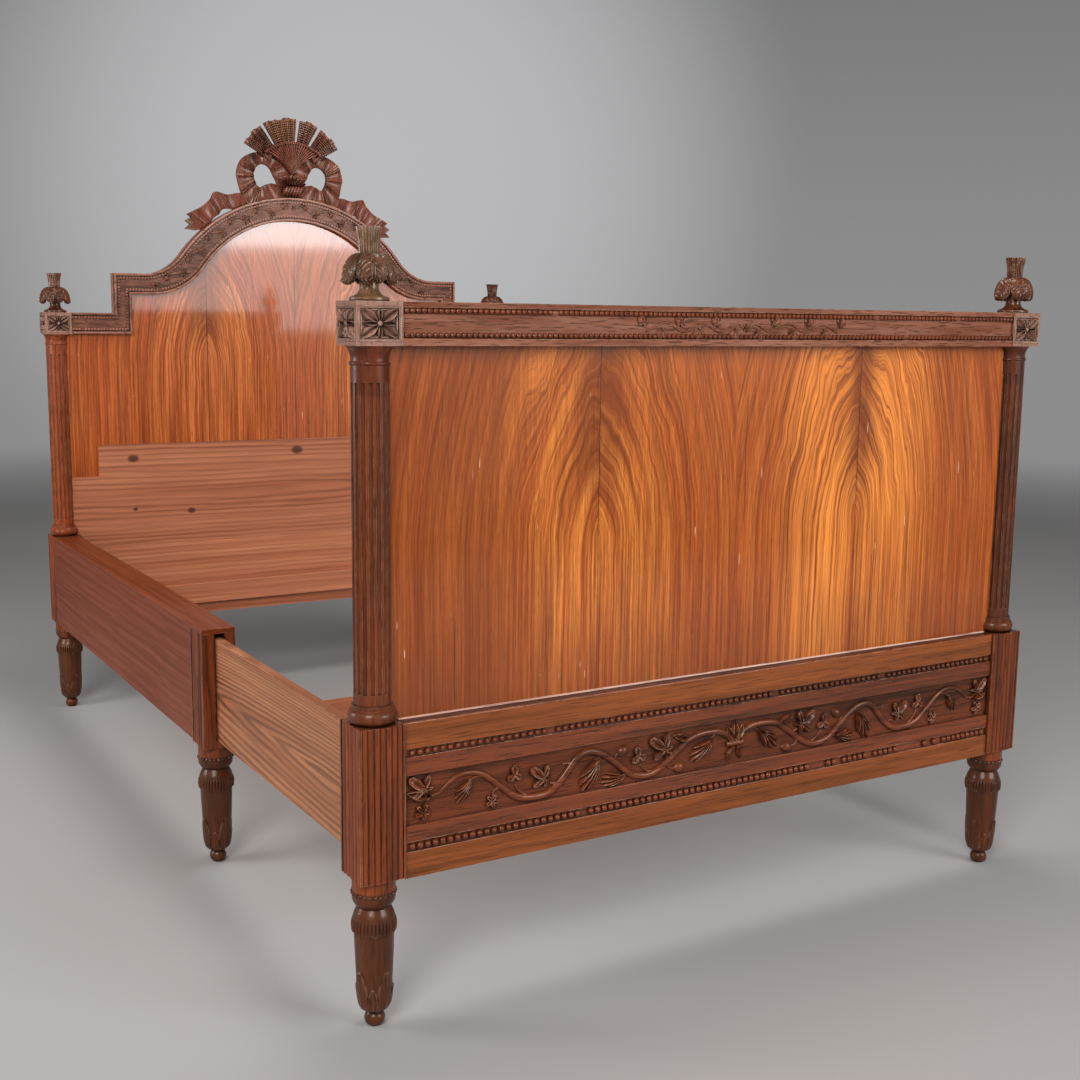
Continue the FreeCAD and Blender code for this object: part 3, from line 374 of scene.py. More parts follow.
def growth_rings_group():
    """Dark and pale growth rings of a plain-sawn board: nested tongues with a wavering line."""
    tree, given = new_group("growth rings", "ShaderNodeTree", ("Rings", "Tone"), Across=0.0, Along=0.0, Rings=130.0,
                            Waver=0.02, Seed=0.0, Point=1.7, Crowding=0.0)
    across, along, point, waver, seed = (given[key] for key in ("Across", "Along", "Point", "Waver", "Seed"))
    total = abs(across) ** point + along.least(0.0) ** point
    place = combined(tree, across, seed, along * 2.0)
    reach = total ** (1.0 / point) + across.least(0.0) ** 2.0 * given["Crowding"]
    reach = reach + (place.noise(9.0, 1.0) - 0.5) * waver + (place.noise(55.0, 2.0, 0.6) - 0.5) * (waver * 0.25)
    wave = calc(tree, "SINE", reach * given["Rings"] * math.tau)
    ring = calc(tree, "MULTIPLY_ADD", wave, 0.5, 0.5) ** 1.7
    tone = combined(tree, reach * 40.0, seed, along)
    close_group(tree, Rings=ring * place.noise(14.0, 2.0).spread(0.25, 0.7, 0.45, 1.0),
                Tone=tone.noise(1.0, 2.0).spread(0.3, 0.7))


def new_material(name):
    """A new material, its tree and its Object coordinates."""
    material = bpy.data.materials.new(name)
    material.use_nodes = True
    return material, material.node_tree, add(material.node_tree, "ShaderNodeTexCoord")["Object"]


def turned(spot, axis):
    """Coordinates turned so that the grain, which runs along the given axis, runs along Z."""
    if axis == "Z":
        return spot
    turn = (0.0, QUARTER, 0.0) if axis == "X" else (QUARTER, 0.0, 0.0)
    return add(spot.tree, "ShaderNodeMapping", None, Vector=spot, Rotation=turn)


def finish_wood(material, colour, rough, height, bump, coat, coat_rough, sheen):
    """The last nodes of a wood: its shader, with a warm old varnish, and its bump."""
    tree = material.node_tree
    raised = add(tree, "ShaderNodeBump", None, Strength=bump, Distance=BUMP_DEPTH, Height=height)
    surface = tree.nodes["Principled BSDF"].inputs
    for key, given in (("Base Color", colour), ("Roughness", rough), ("Normal", raised), ("Coat Weight", coat),
                       ("Coat Roughness", coat_rough), ("Specular IOR Level", sheen), ("Specular Tint", VARNISH_TINT)):
        feed(tree, surface[key], given)
    return material


def plain_wood(name, axis, dark, mid, light, worn, fineness, stretch, rough, coat, bump=0.5, wear=0.55, width=0.0016,
               pores=0.6, cloud=0.5, reach=0.010, hollow_shade=0.75, top=None, zones=()):
    """A wood of straight grain with open pores, rubbed edges and a painted shade in its hollows.

    Above its top level it takes a greyer colour; each zone of height has its own tint."""
    material, tree, spot = new_material(name)
    grain = placed_group(tree, "long grain", Vector=turned(spot, axis), Fineness=fineness, Stretch=stretch)
    edges = placed_group(tree, "edge wear", Vector=spot, Width=width, Amount=wear, Reach=reach)
    streaks = grain["Streaks"]
    colour = (grain["Clouds"] * cloud).mix(streaks.mix(dark, mid), light)
    x, y, z = spot.parts()
    if top:
        level, slope, pale, soft = top
        high = calc(tree, "MULTIPLY_ADD", y, slope, z)
        colour = (high.spread(level - soft, level + soft) * 0.80).mix(colour, pale)
    for low, high, tint in zones:
        inside = z.spread(low - 0.002, low + 0.002) * z.spread(high + 0.002, high - 0.002)
        colour = inside.mix(colour, tint, "MULTIPLY")
    colour = (grain["Pores"] * pores).mix(colour, tinted(dark, 0.3))
    # Painted shade: occluded hollows darkened towards the dark grain
    colour = (edges["Hollow"] * hollow_shade).mix(colour, tinted(dark, 0.25))
    return finish_wood(material, edges["Rubbed"].mix(colour, worn), streaks.spread(0.0, 1.0, rough + 0.1, rough - 0.06),
                       streaks * 0.4 - grain["Pores"], bump, coat, 0.22, 0.22)


def crack_mask(x, z, cracks):
    """Thin upright cracks, each given by its X, its foot, its top and its half width."""
    mask = None
    for place, low, high, half in cracks:
        off = abs(x + calc(z.tree, "SINE", z * 40.0) * 0.0006 - place)
        line = off.spread(half, half * 0.3) * z.spread(low, low + 0.02) * z.spread(high, high - 0.02)
        mask = mask.least(line) if mask else line
    return mask


def flame_veneer(name, joint, turn, seed, colours, low_line, cracks, coat=0.5, uneven=1.0):
    """Polished veneer with a feather figure over its upright joints, fine streaks, cracks and small scratches."""
    dark, mid, gold, stain = colours
    material, tree, spot = new_material(name)
    x, y, z = spot.parts()
    offset = abs(x) - joint
    across, along = abs(offset), z - turn
    halves = calc(tree, "SIGN", x) * 1.7 + calc(tree, "SIGN", offset) * 0.4
    figure = placed_group(tree, "nested arches", Across=across, Along=along, Steepness=0.40, Lines=250.0,
                          Wobble=0.058, Seed=halves + seed, Point=1.5, Drift=3.0)
    grain = placed_group(tree, "long grain", Vector=spot, Fineness=330.0, Stretch=45.0)
    lines, pores = figure["Lines"], grain["Pores"]
    # glow marks a painted golden sheen beside the joints in the middle and upper panel; the bands and streaks it
    # brightens are the figure
    glow = across.spread(0.19, 0.05) * along.spread(0.27, 0.05, 0.45, 1.0) * along.spread(-0.22, 0.04, 0.50, 1.0)
    colour = (figure["Bands"] * (glow * 0.68 + 0.22)).mix(mid, gold)
    colour = (lines ** 3.0 * (glow * 0.55 + 0.08)).mix(colour, tinted(gold, 1.35))
    colour = ((1.0 - lines) ** 2.0 * 0.78).mix(colour, dark)
    colour = (across.spread(0.080, 0.01) * along.spread(0.0, 0.13) * 0.62).mix(colour, dark)
    colour = (grain["Streaks"] * 0.48).mix(colour, dark)
    colour = (pores * 0.5).mix(colour, stain)
    colour = (z.spread(low_line + 0.16, low_line) * 0.35).mix(colour, dark)
    colour = (x.spread(-0.33, -0.47) * (0.42 * uneven)).mix(colour, dark)
    bright = x.spread(0.27, 0.32) * x.spread(0.46, 0.38) * along.spread(-0.16, 0.06, 0.5, 1.3)
    warm = (x.spread(0.05, 0.17) * x.spread(0.262, 0.235)).least(bright)
    colour = (warm * (lines * (0.50 * uneven))).mix(colour, tinted(gold, 1.3))
    colour = (across.spread(0.0011, 0.0004) * along.spread(-0.20, 0.10, 0.12, 0.85)).mix(colour, stain)
    colour = (crack_mask(x, z, cracks) * 0.8).mix(colour, stain)
    slant = add(tree, "ShaderNodeMapping", None, Vector=spot, Rotation=(0.0, 0.95, 0.0), Scale=(260.0, 1.0, 22.0))
    fleck = slant.noise(1.0, 0.0).spread(0.80, 0.84) * spot.noise(9.0, 1.0).spread(0.52, 0.6)
    colour = (fleck * 0.5).mix(colour, (0.80, 0.62, 0.45))
    return finish_wood(material, colour, spot.noise(2.6, 3.0).spread(0.3, 0.7, 0.26, 0.40),
                       spot.noise(3.2, 2.0) * 9.0 - pores, 0.22, coat, 0.06, 0.22)


def pine_wood(name, axis, centre, dark, mid, light, lines, knots=(), contrast=0.7, pull=0.16, waver=0.03, point=1.7,
              crowding=0.0):
    """Plain-sawn softwood: nested growth lines along the board, with knots where they are given."""
    material, tree, spot = new_material(name)
    parts = dict(zip("XYZ", spot.parts()))
    run, z = parts[axis], parts["Z"]
    figure = placed_group(tree, "growth rings", Across=z - centre[1], Along=(run - centre[0]) * pull, Rings=lines,
                          Waver=waver, Seed=centre[2], Point=point, Crowding=crowding)
    grain = placed_group(tree, "long grain", Vector=turned(spot, axis), Fineness=150.0, Stretch=40.0)
    rings, streaks = figure["Rings"], grain["Streaks"]
    colour = (rings * contrast).mix(figure["Tone"].mix(mid, light), dark)
    colour = (streaks * 0.42).mix(colour, dark)
    colour = (grain["Clouds"] * 0.35).mix(colour, light)
    for knot_run, knot_z, size in knots:
        from_run, from_z = run - knot_run, z - knot_z
        far = calc(tree, "SQRT", from_run * from_run * 0.45 + from_z * from_z)
        colour = (far.spread(size, size * 0.45) * 0.85).mix(colour, tinted(dark, 0.3))
    edges = placed_group(tree, "edge wear", Vector=spot, Width=0.0024, Amount=0.9)
    colour = edges["Rubbed"].mix(colour, tinted(light, 1.45))
    # Painted shade: occluded hollows darkened
    colour = (edges["Hollow"] * 0.4).mix(colour, tinted(dark, 0.4))
    return finish_wood(material, colour, rings.spread(0.0, 1.0, 0.58, 0.42), rings + streaks * 0.5, 0.35, 0.08, 0.3,
                       0.3)


def floor_paint(colour):
    """The studio floor, which fades into the backdrop far from the bed."""
    material, tree, spot = new_material("studio floor")
    surface = tree.nodes["Principled BSDF"]
    for key, given in (("Base Color", spot.noise(0.7, 3.0).mix(tinted(colour, 0.94), colour)), ("Roughness", 0.6),
                       ("Specular IOR Level", 0.25)):
        feed(tree, surface.inputs[key], given)
    far = add(tree, "ShaderNodeVectorMath", {"operation": "LENGTH"}, Vector=spot)["Value"]
    clear = add(tree, "ShaderNodeBsdfTransparent")
    fade = add(tree, "ShaderNodeMixShader", None, Fac=far.spread(4.5, 9.5), Shader=Wire(tree, surface.outputs[0]),
               Shader_001=clear)
    feed(tree, tree.nodes["Material Output"].inputs["Surface"], fade)
    return material


# Open joints and cracks of the veneers: (X, low Z, high Z, half width)
FOOT_CRACKS = ((-0.512, 0.46, 0.60, 0.0011), (0.020, 0.70, 0.92, 0.0009), (0.115, 0.53, 0.84, 0.0009),
               (-0.268, 0.84, 0.87, 0.0022), (0.300, 0.46, 0.56, 0.0008))
HEAD_CRACKS = ((0.002, 0.66, 1.28, 0.0016), (-0.249, 0.64, 1.25, 0.0014), (-0.118, 0.90, 1.20, 0.0009),
               (0.128, 0.66, 0.98, 0.0010))


def make_woods(looks):
    """Every wood of the bed, by name."""
    for make_group in (long_grain_group, wear_and_shade_group, nested_arches_group, growth_rings_group):
        make_group()
    dark, brown, worn = looks.dark_wood, looks.brown_wood, looks.worn_edge
    dusty, gold, pale = looks.dusty_wood, looks.golden_wood, looks.pale_ledge
    grey, carved = tinted(looks.grey_wood, 0.90, 0.86, 0.84), tinted(brown, 1.22, 1.10, 1.15)
    red, strip = tinted(looks.red_board, 0.66, 0.58, 0.50), tinted(looks.strip_wood, 0.66, 0.63, 0.60)
    leg = (0.0, 0.212, (0.58, 0.66, 0.72))
    # The capital zone is a painted shade: it darkens the post's neck just under the capital, from 0.925 to 0.986 m
    block, capital = (0.212, 0.4625, (1.40, 1.30, 1.15)), (0.925, 0.986, (0.72, 0.60, 0.60))
    weathered = (0.986, 0.0063, grey, 0.001)
    WOODS["post"] = plain_wood(
        "dark turned wood", "Z", tinted(dark, 1.2), tinted(brown, 1.02, 0.88, 0.80), tinted(brown, 1.7, 1.6, 1.5), worn,
        fineness=85.0, stretch=18.0, rough=0.38, coat=0.25, wear=0.50, pores=0.50, reach=0.007, hollow_shade=0.9, top=weathered,
        zones=(leg, block, capital))
    WOODS["head_post"] = plain_wood(
        "red turned wood", "Z", dark, tinted(brown, 1.55, 1.20, 1.10), tinted(brown, 2.6, 2.1, 1.8), worn,
        fineness=85.0, stretch=18.0, rough=0.38, coat=0.12, wear=0.7, pores=0.75, top=weathered, zones=(leg,))
    WOODS["capital"] = plain_wood(
        "grey carved wood", "Z", tinted(grey, 0.45, 0.40, 0.36), grey, tinted(grey, 1.35), tinted(worn, 1.15, 1.5, 2.0),
        fineness=85.0, stretch=18.0, rough=0.44, coat=0.10, wear=1.0, pores=0.7, reach=0.005, hollow_shade=0.90)
    WOODS["finial"] = plain_wood(
        "dark finial wood", "Z", dark, tinted(brown, 0.95, 1.1, 1.3), tinted(brown, 1.7, 1.9, 2.2),
        tinted(worn, 1.1, 1.3, 1.6), fineness=85.0, stretch=12.0, rough=0.34, coat=0.3, wear=1.0, pores=0.8,
        reach=0.005, hollow_shade=0.92)
    WOODS["frieze"] = plain_wood(
        "dark sunk wood", "X", dark, tinted(brown, 0.95, 0.85, 0.9), tinted(brown, 1.5, 1.3, 1.3), worn, fineness=75.0,
        stretch=20.0, rough=0.44, coat=0.10, wear=0.85, reach=0.014, hollow_shade=0.9)
    WOODS["carved_x"] = plain_wood(
        "dark carved wood", "X", dark, carved, tinted(carved, 1.5), worn, fineness=75.0, stretch=24.0, rough=0.36,
        coat=0.30, wear=0.95, width=0.0020, reach=0.006)
    WOODS["dusty"] = plain_wood(
        "dusty rail wood", "X", brown, dusty, tinted(dusty, 1.35), worn, fineness=90.0, stretch=14.0, rough=0.46,
        coat=0.08, wear=0.9, pores=0.85, reach=0.007)
    WOODS["arch"] = plain_wood(
        "dark arch wood", "X", dark, tinted(dusty, 0.85, 0.75, 0.8), tinted(dusty, 1.2), worn, fineness=95.0,
        stretch=10.0, rough=0.44, coat=0.12, wear=0.9, reach=0.006, hollow_shade=0.85)
    # Above 1.19 m the rims and the headboard's beads turn pale: a painted highlight from above, on top of their rubbed
    # edges
    WOODS["rim"] = plain_wood(
        "rubbed rim wood", "X", tinted(dusty, 0.5), tinted(dusty, 1.1, 1.05, 1.1), tinted(dusty, 1.9, 2.0, 2.3),
        tinted(worn, 1.0, 1.2, 1.5), fineness=60.0, stretch=10.0, rough=0.42, coat=0.12, wear=0.9, pores=0.8, cloud=0.6,
        reach=0.003, top=(1.19, 0.0, tinted(dusty, 1.8, 2.4, 3.2), 0.05))
    WOODS["crest"] = plain_wood(
        "dark crest wood", "Z", dark, tinted(dusty, 0.90, 0.66, 0.70), tinted(dusty, 1.30, 1.0, 1.0), worn,
        fineness=90.0, stretch=10.0, rough=0.32, coat=0.28, wear=0.6, reach=0.006, hollow_shade=0.9)
    WOODS["golden"] = plain_wood(
        "rubbed golden wood", "Z", tinted(gold, 0.30), tinted(gold, 0.95, 0.85, 0.95), tinted(gold, 1.6),
        tinted(worn, 1.1, 1.4, 1.8), fineness=90.0, stretch=20.0, rough=0.34, coat=0.3, wear=1.0, reach=0.005,
        hollow_shade=0.95, zones=((1.076, 1.116, (0.62, 0.52, 0.52)),))
    WOODS["golden_crest"] = plain_wood(
        "rubbed golden ears", "Z", dark, tinted(gold, 1.6, 1.25, 1.15), tinted(gold, 2.2, 1.8, 1.7), worn,
        fineness=90.0, stretch=12.0, rough=0.42, coat=0.2, reach=0.004, hollow_shade=0.85)
    WOODS["red_y"] = plain_wood(
        "reddish board", "Y", tinted(red, 0.60), red, tinted(red, 1.25), worn, fineness=90.0, stretch=45.0, rough=0.42,
        coat=0.12, bump=0.2, wear=0.9, width=0.0022, pores=0.25, cloud=0.2)
    WOODS["strip"] = plain_wood(
        "light strip wood", "X", tinted(strip, 0.5), strip, tinted(strip, 1.4), tinted(worn, 1.3, 1.6, 2.0),
        fineness=120.0, stretch=40.0, rough=0.42, coat=0.10, bump=0.4, wear=1.0, cloud=0.4)
    # The ledge's paleness is partly rubbed wear and partly a painted highlight on its lit top
    WOODS["ledge"] = plain_wood(
        "pale ledge wood", "X", pale, tinted(pale, 1.7, 2.1, 2.3), tinted(worn, 1.3, 1.8, 2.4),
        tinted(worn, 1.5, 2.2, 3.0), fineness=70.0, stretch=30.0, rough=0.4, coat=0.2, wear=1.0, reach=0.0015, hollow_shade=0.3)
    flame = (looks.flame_dark, looks.flame_mid, looks.flame_gold, tinted(looks.flame_dark, 0.3))
    WOODS["foot_flame"] = flame_veneer(
        "flame veneer of the foot", joint=0.265, turn=0.70, seed=3.0, colours=flame,
        low_line=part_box("foot_panel_inner_right")[0].z, cracks=FOOT_CRACKS)
    flame = (tinted(flame[0], 0.8), tinted(flame[1], 1.04, 0.98, 1.45), tinted(flame[2], 0.95, 0.90, 1.25), flame[3])
    WOODS["head_flame"] = flame_veneer(
        "flame veneer of the head", joint=0.248, turn=0.92, seed=8.0, colours=flame,
        low_line=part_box("head_panel_outer_left")[0].z - 0.05, cracks=HEAD_CRACKS, coat=1.0, uneven=0.0)
    pine = (looks.pine_dark, looks.pine_mid, looks.pine_light)
    WOODS["pine_y"] = pine_wood(
        "pine side rail", "Y", (-0.80, 0.335, 1.0), tinted(pine[0], 0.6, 0.55, 0.5), tinted(pine[1], 0.66, 0.62, 0.61),
        tinted(pine[2], 0.80), lines=80.0, contrast=1.0, pull=0.085, waver=0.030, point=1.25, crowding=8.0)
    deep, mid, light = (tinted(part, 1.0, 0.86, 0.9) for part in pine)
    WOODS["pine_upper"] = pine_wood(
        "upper pine board", "X", (-0.12, 0.56, 2.0), deep, tinted(mid, 0.78), tinted(light, 0.80), lines=70.0,
        knots=((-0.457, 0.655, 0.013), (0.002, 0.662, 0.015), (-0.304, 0.508, 0.010), (-0.455, 0.520, 0.006)),
        contrast=0.65, pull=0.05, waver=0.040)
    WOODS["pine_lower"] = pine_wood(
        "lower pine board", "X", (0.4, 0.30, 4.0), deep, tinted(mid, 0.90), tinted(light, 0.90), lines=75.0,
        knots=((-0.36, 0.27, 0.011),), contrast=0.5, pull=0.08)


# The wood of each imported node, by the first of these words in its name
NODE_WOODS = (("foot_panel", "foot_flame"), ("head_panel", "head_flame"), ("foot_side_rail", "pine_y"),
              ("pine_upper", "pine_upper"), ("pine_lower", "pine_lower"), ("batten", "pine_lower"),
              ("cross_rail", "pine_lower"), ("rail_board", "frieze"), ("box_", "red_y"), ("strip", "strip"),
              ("ledge", "ledge"), ("crest", "crest"), ("top_rail", "dusty"), ("head_post", "head_post"),
              ("arch", "arch"), ("return", "arch"), ("moulding", "carved_x"), ("bead", "carved_x"), ("", "post"))


def wood_of(node):
    """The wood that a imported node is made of."""
    return next(wood for word, wood in NODE_WOODS if word in node)


def geometry_group(name, **inputs):
    """An empty geometry tree with named inputs, the first of them its geometry."""
    return new_group(name, "GeometryNodeTree", ("Geometry",), Geometry=None, **inputs)


def close_placed(given, points, **inputs):
    """Ends a tree: a piece on each point, made real, shaded smooth and given its material."""
    tree = given.tree
    placed = add(tree, "GeometryNodeInstanceOnPoints", None, Points=points, **inputs)
    real = add(tree, "GeometryNodeRealizeInstances", None, Geometry=placed)
    smooth = add(tree, "GeometryNodeSetShadeSmooth", None, Geometry=real)
    close_group(tree, Geometry=add(tree, "GeometryNodeSetMaterial", None, Geometry=smooth, Material=given["Material"]))


def bead_row_tree():
    """Round beads on given points, each a little larger or smaller."""
    tree, given = geometry_group("bead row", Radius=0.005, Seed=1, Material=None)
    bead = add(tree, "GeometryNodeMeshUVSphere", None, Segments=10, Rings=6, Radius=given["Radius"])
    size = add(tree, "FunctionNodeRandomValue", {"data_type": "FLOAT"}, Min_001=0.88, Max_001=1.04, Seed=given["Seed"])
    close_placed(given, given, Instance=bead, Scale=size["Value_001"])


def bead_line_tree():
    """Round beads at a pitch along a line, with a few missing."""
    tree, given = geometry_group("bead line", Pitch=0.012, Radius=0.005, Missing=0.0, Seed=1, Material=None)
    curve = add(tree, "GeometryNodeMeshToCurve", None, Mesh=given)
    points = add(tree, "GeometryNodeCurveToPoints", {"mode": "LENGTH"}, Curve=curve, Length=given["Pitch"])
    lost = add(tree, "FunctionNodeRandomValue", {"data_type": "BOOLEAN"}, Probability=given["Missing"],
               Seed=given["Seed"])
    left = add(tree, "GeometryNodeDeleteGeometry", {"domain": "POINT"}, Geometry=points, Selection=lost["Value_003"])
    bead = add(tree, "GeometryNodeMeshUVSphere", None, Segments=8, Rings=6, Radius=given["Radius"])
    close_placed(given, left, Instance=bead)


def ring_tree():
    """One piece repeated round the Z axis."""
    tree, given = geometry_group("ring of pieces", Piece=None, Count=8, Phase=0.0, Material=None)
    points = add(tree, "GeometryNodePoints", None, Count=given["Count"])
    turn = add(tree, "GeometryNodeInputIndex") * math.tau / given["Count"] + given["Phase"]
    facing = add(tree, "FunctionNodeEulerToRotation", None, Euler=combined(tree, 0.0, 0.0, turn))
    piece = add(tree, "GeometryNodeObjectInfo", None, Object=given["Piece"])
    close_placed(given, points, Instance=piece["Geometry"], Rotation=facing)


def spray_tree():
    """One piece at each given point, turned and sized by the point's own values."""
    tree, given = geometry_group("spray of pieces", Piece=None, Material=None)
    turn, size = (add(tree, "GeometryNodeInputNamedAttribute", {"data_type": "FLOAT_VECTOR"}, Name=name)
                  for name in ("turn", "size"))
    facing = add(tree, "FunctionNodeEulerToRotation", None, Euler=turn)
    piece = add(tree, "GeometryNodeObjectInfo", None, Object=given["Piece"])
    close_placed(given, given, Instance=piece["Geometry"], Rotation=facing, Scale=size)


def grown(group, base, **inputs):
    """Runs a tree on a base mesh and returns the result as a plain mesh; the base object goes."""
    start = linked("base", base)
    modifier = start.modifiers.new("build", "NODES")
    modifier.node_group = bpy.data.node_groups[group]
    for item in modifier.node_group.interface.items_tree:
        if item.item_type == "SOCKET" and item.in_out == "INPUT" and item.name in inputs:
            modifier[item.identifier] = inputs[item.name]
    ready = bpy.context.evaluated_depsgraph_get()
    mesh = bpy.data.meshes.new_from_object(start.evaluated_get(ready), depsgraph=ready)
    start.modifiers.remove(modifier)
    bpy.data.objects.remove(start)
    return mesh


def points_mesh(points, joined=False):
    """Bare points, which may be joined to a line."""
    mesh = bpy.data.meshes.new("points")
    mesh.from_pydata([tuple(p) for p in points], [(i, i + 1) for i in range(len(points) - 1)] if joined else [], [])
    return mesh


def copies(shell, group, base, template, wood, **inputs):
    """Adds the copies of a template shell that a tree sets out."""
    piece = template.made("template")
    shell.join(grown(group, base, Piece=piece, Material=WOODS[wood], **inputs))
    bpy.data.objects.remove(piece)


def sprayed(shell, template, wood, spots):
    """Adds a copy of a template shell at each spot: (place, angle, (length, width, height))."""
    base = points_mesh([place for place, turn, size in spots])
    turns, sizes = (base.attributes.new(name, "FLOAT_VECTOR", "POINT") for name in ("turn", "size"))
    for i, (place, turn, size) in enumerate(spots):
        turns.data[i].vector = (0.0, 0.0, turn)
        sizes.data[i].vector = size
    copies(shell, "spray of pieces", base, template, wood)


def ringed(shell, template, wood, count, phase):
    """Adds copies of a template shell in a ring about Z."""
    copies(shell, "ring of pieces", points_mesh([(0, 0, 0)]), template, wood, Count=count, Phase=phase)


def relief_of(spot, rows, columns, base):
    """A relief whose points a function gives from the shares along it, 0 to 1, and across it, -1 to 1."""
    shell = Shell()
    shell.relief([[spot(i / rows, 2.0 * j / columns - 1.0) for j in range(columns + 1)] for i in range(rows + 1)],
                 base)
    return shell


def petal_shell(fat, rise):
    """A lens-shaped pointed leaf of unit length along X, with a cut midrib between two raised ribs."""
    def spot(t, s):
        half = fat * math.sin(math.pi * t ** 0.9) ** 0.9 + 0.012 if 0 < t < 1 else 0.012
        rim = rise * math.exp(-((abs(s) - 0.58) / 0.24) ** 2)
        cut = 0.3 * rise * math.exp(-(s / 0.16) ** 2)
        up = (0.05 + rim - cut) * math.sin(math.pi * (0.18 + 0.74 * t))
        return t, half * s, 0.0 if abs(s) > 0.99 else max(0.004, up)
    return relief_of(spot, rows=10, columns=10, base=-0.04)


def bud_shell():
    """A small round bud, of unit length along X."""
    def spot(t, s):
        half = 0.36 * math.sin(math.pi * t) ** 0.6 + 0.01
        up = 0.3 * math.sqrt(max(0.0, 1.0 - s * s)) * math.sin(math.pi * (0.06 + 0.88 * t))
        return t, half * s, max(0.0, up)
    return relief_of(spot, rows=7, columns=6, base=-0.05)


def comb_shell():
    """A broad leaf of unit length from its stalk: pointed lobes that fan out, each with a cut rib."""
    lobes, opening, depth, fold = 5, 0.95, 0.16, 0.8
    grid = []
    for share in (0.04, 0.3, 0.55, 0.78, 0.93, 1.0):
        row = []
        for j in range(lobes * 8 + 1):
            part = j / (lobes * 8)
            turn = (part - 0.5) * opening
            place = part * lobes % 1.0
            off = abs(place - 0.5) * 2
            long = (1.0 - 0.42 * abs(2 * part - 1) ** 1.5) * (1.0 - depth * off ** 1.6 * share)
            valley = math.exp(-((1.0 - off) / 0.22) ** 2)
            rib = 0.5 + 0.5 * math.cos(math.tau * place + math.pi)
            up = 0.17 * math.sin(math.pi * min(1.0, 0.25 + 0.72 * share)) ** 0.7
            up = up * (1.0 - fold * valley * share) + 0.05 * rib * math.sin(math.pi * share)
            high = 0.012 if share == 1.0 else max(0.012, up)
            row.append((long * share * math.cos(turn), long * share * math.sin(turn), high))
        grid.append(row)
    shell = Shell()
    shell.relief(grid, base=-0.05)
    return shell


def lobed_shell(lobes, centre, power, high):
    """A carved leaf round a point on its X axis: a lobe for each (angle, reach, half width), with cut midribs."""
    spokes = []
    for turn in around(60):
        rim, rib = 0.14, 0.0
        for angle, reach, half in lobes:
            off = abs((turn - angle + math.pi) % math.tau - math.pi)
            if off < half:
                rim = max(rim, reach * math.cos(off / half * math.pi / 2) ** power)
            rib = max(rib, math.exp(-(off / 0.12) ** 2))
        spokes.append((turn, rim, rib))
    rows = []
    for share, up in ((0.03, 0.6), (0.3, 0.8), (0.6, 1.0), (0.82, 1.05), (0.95, 0.75), (1.0, 0.0)):
        cut = 0.6 * math.sin(math.pi * share)
        rows.append([(centre + rim * share * math.cos(turn), rim * share * math.sin(turn),
                      high * up * (1.0 - cut * rib)) for turn, rim, rib in spokes])
    rows.append([(x, y, -0.05) for x, y, z in rows[-1]])
    shell = Shell()
    shell.sheet(rows, wrap=True, cap=True)
    return shell


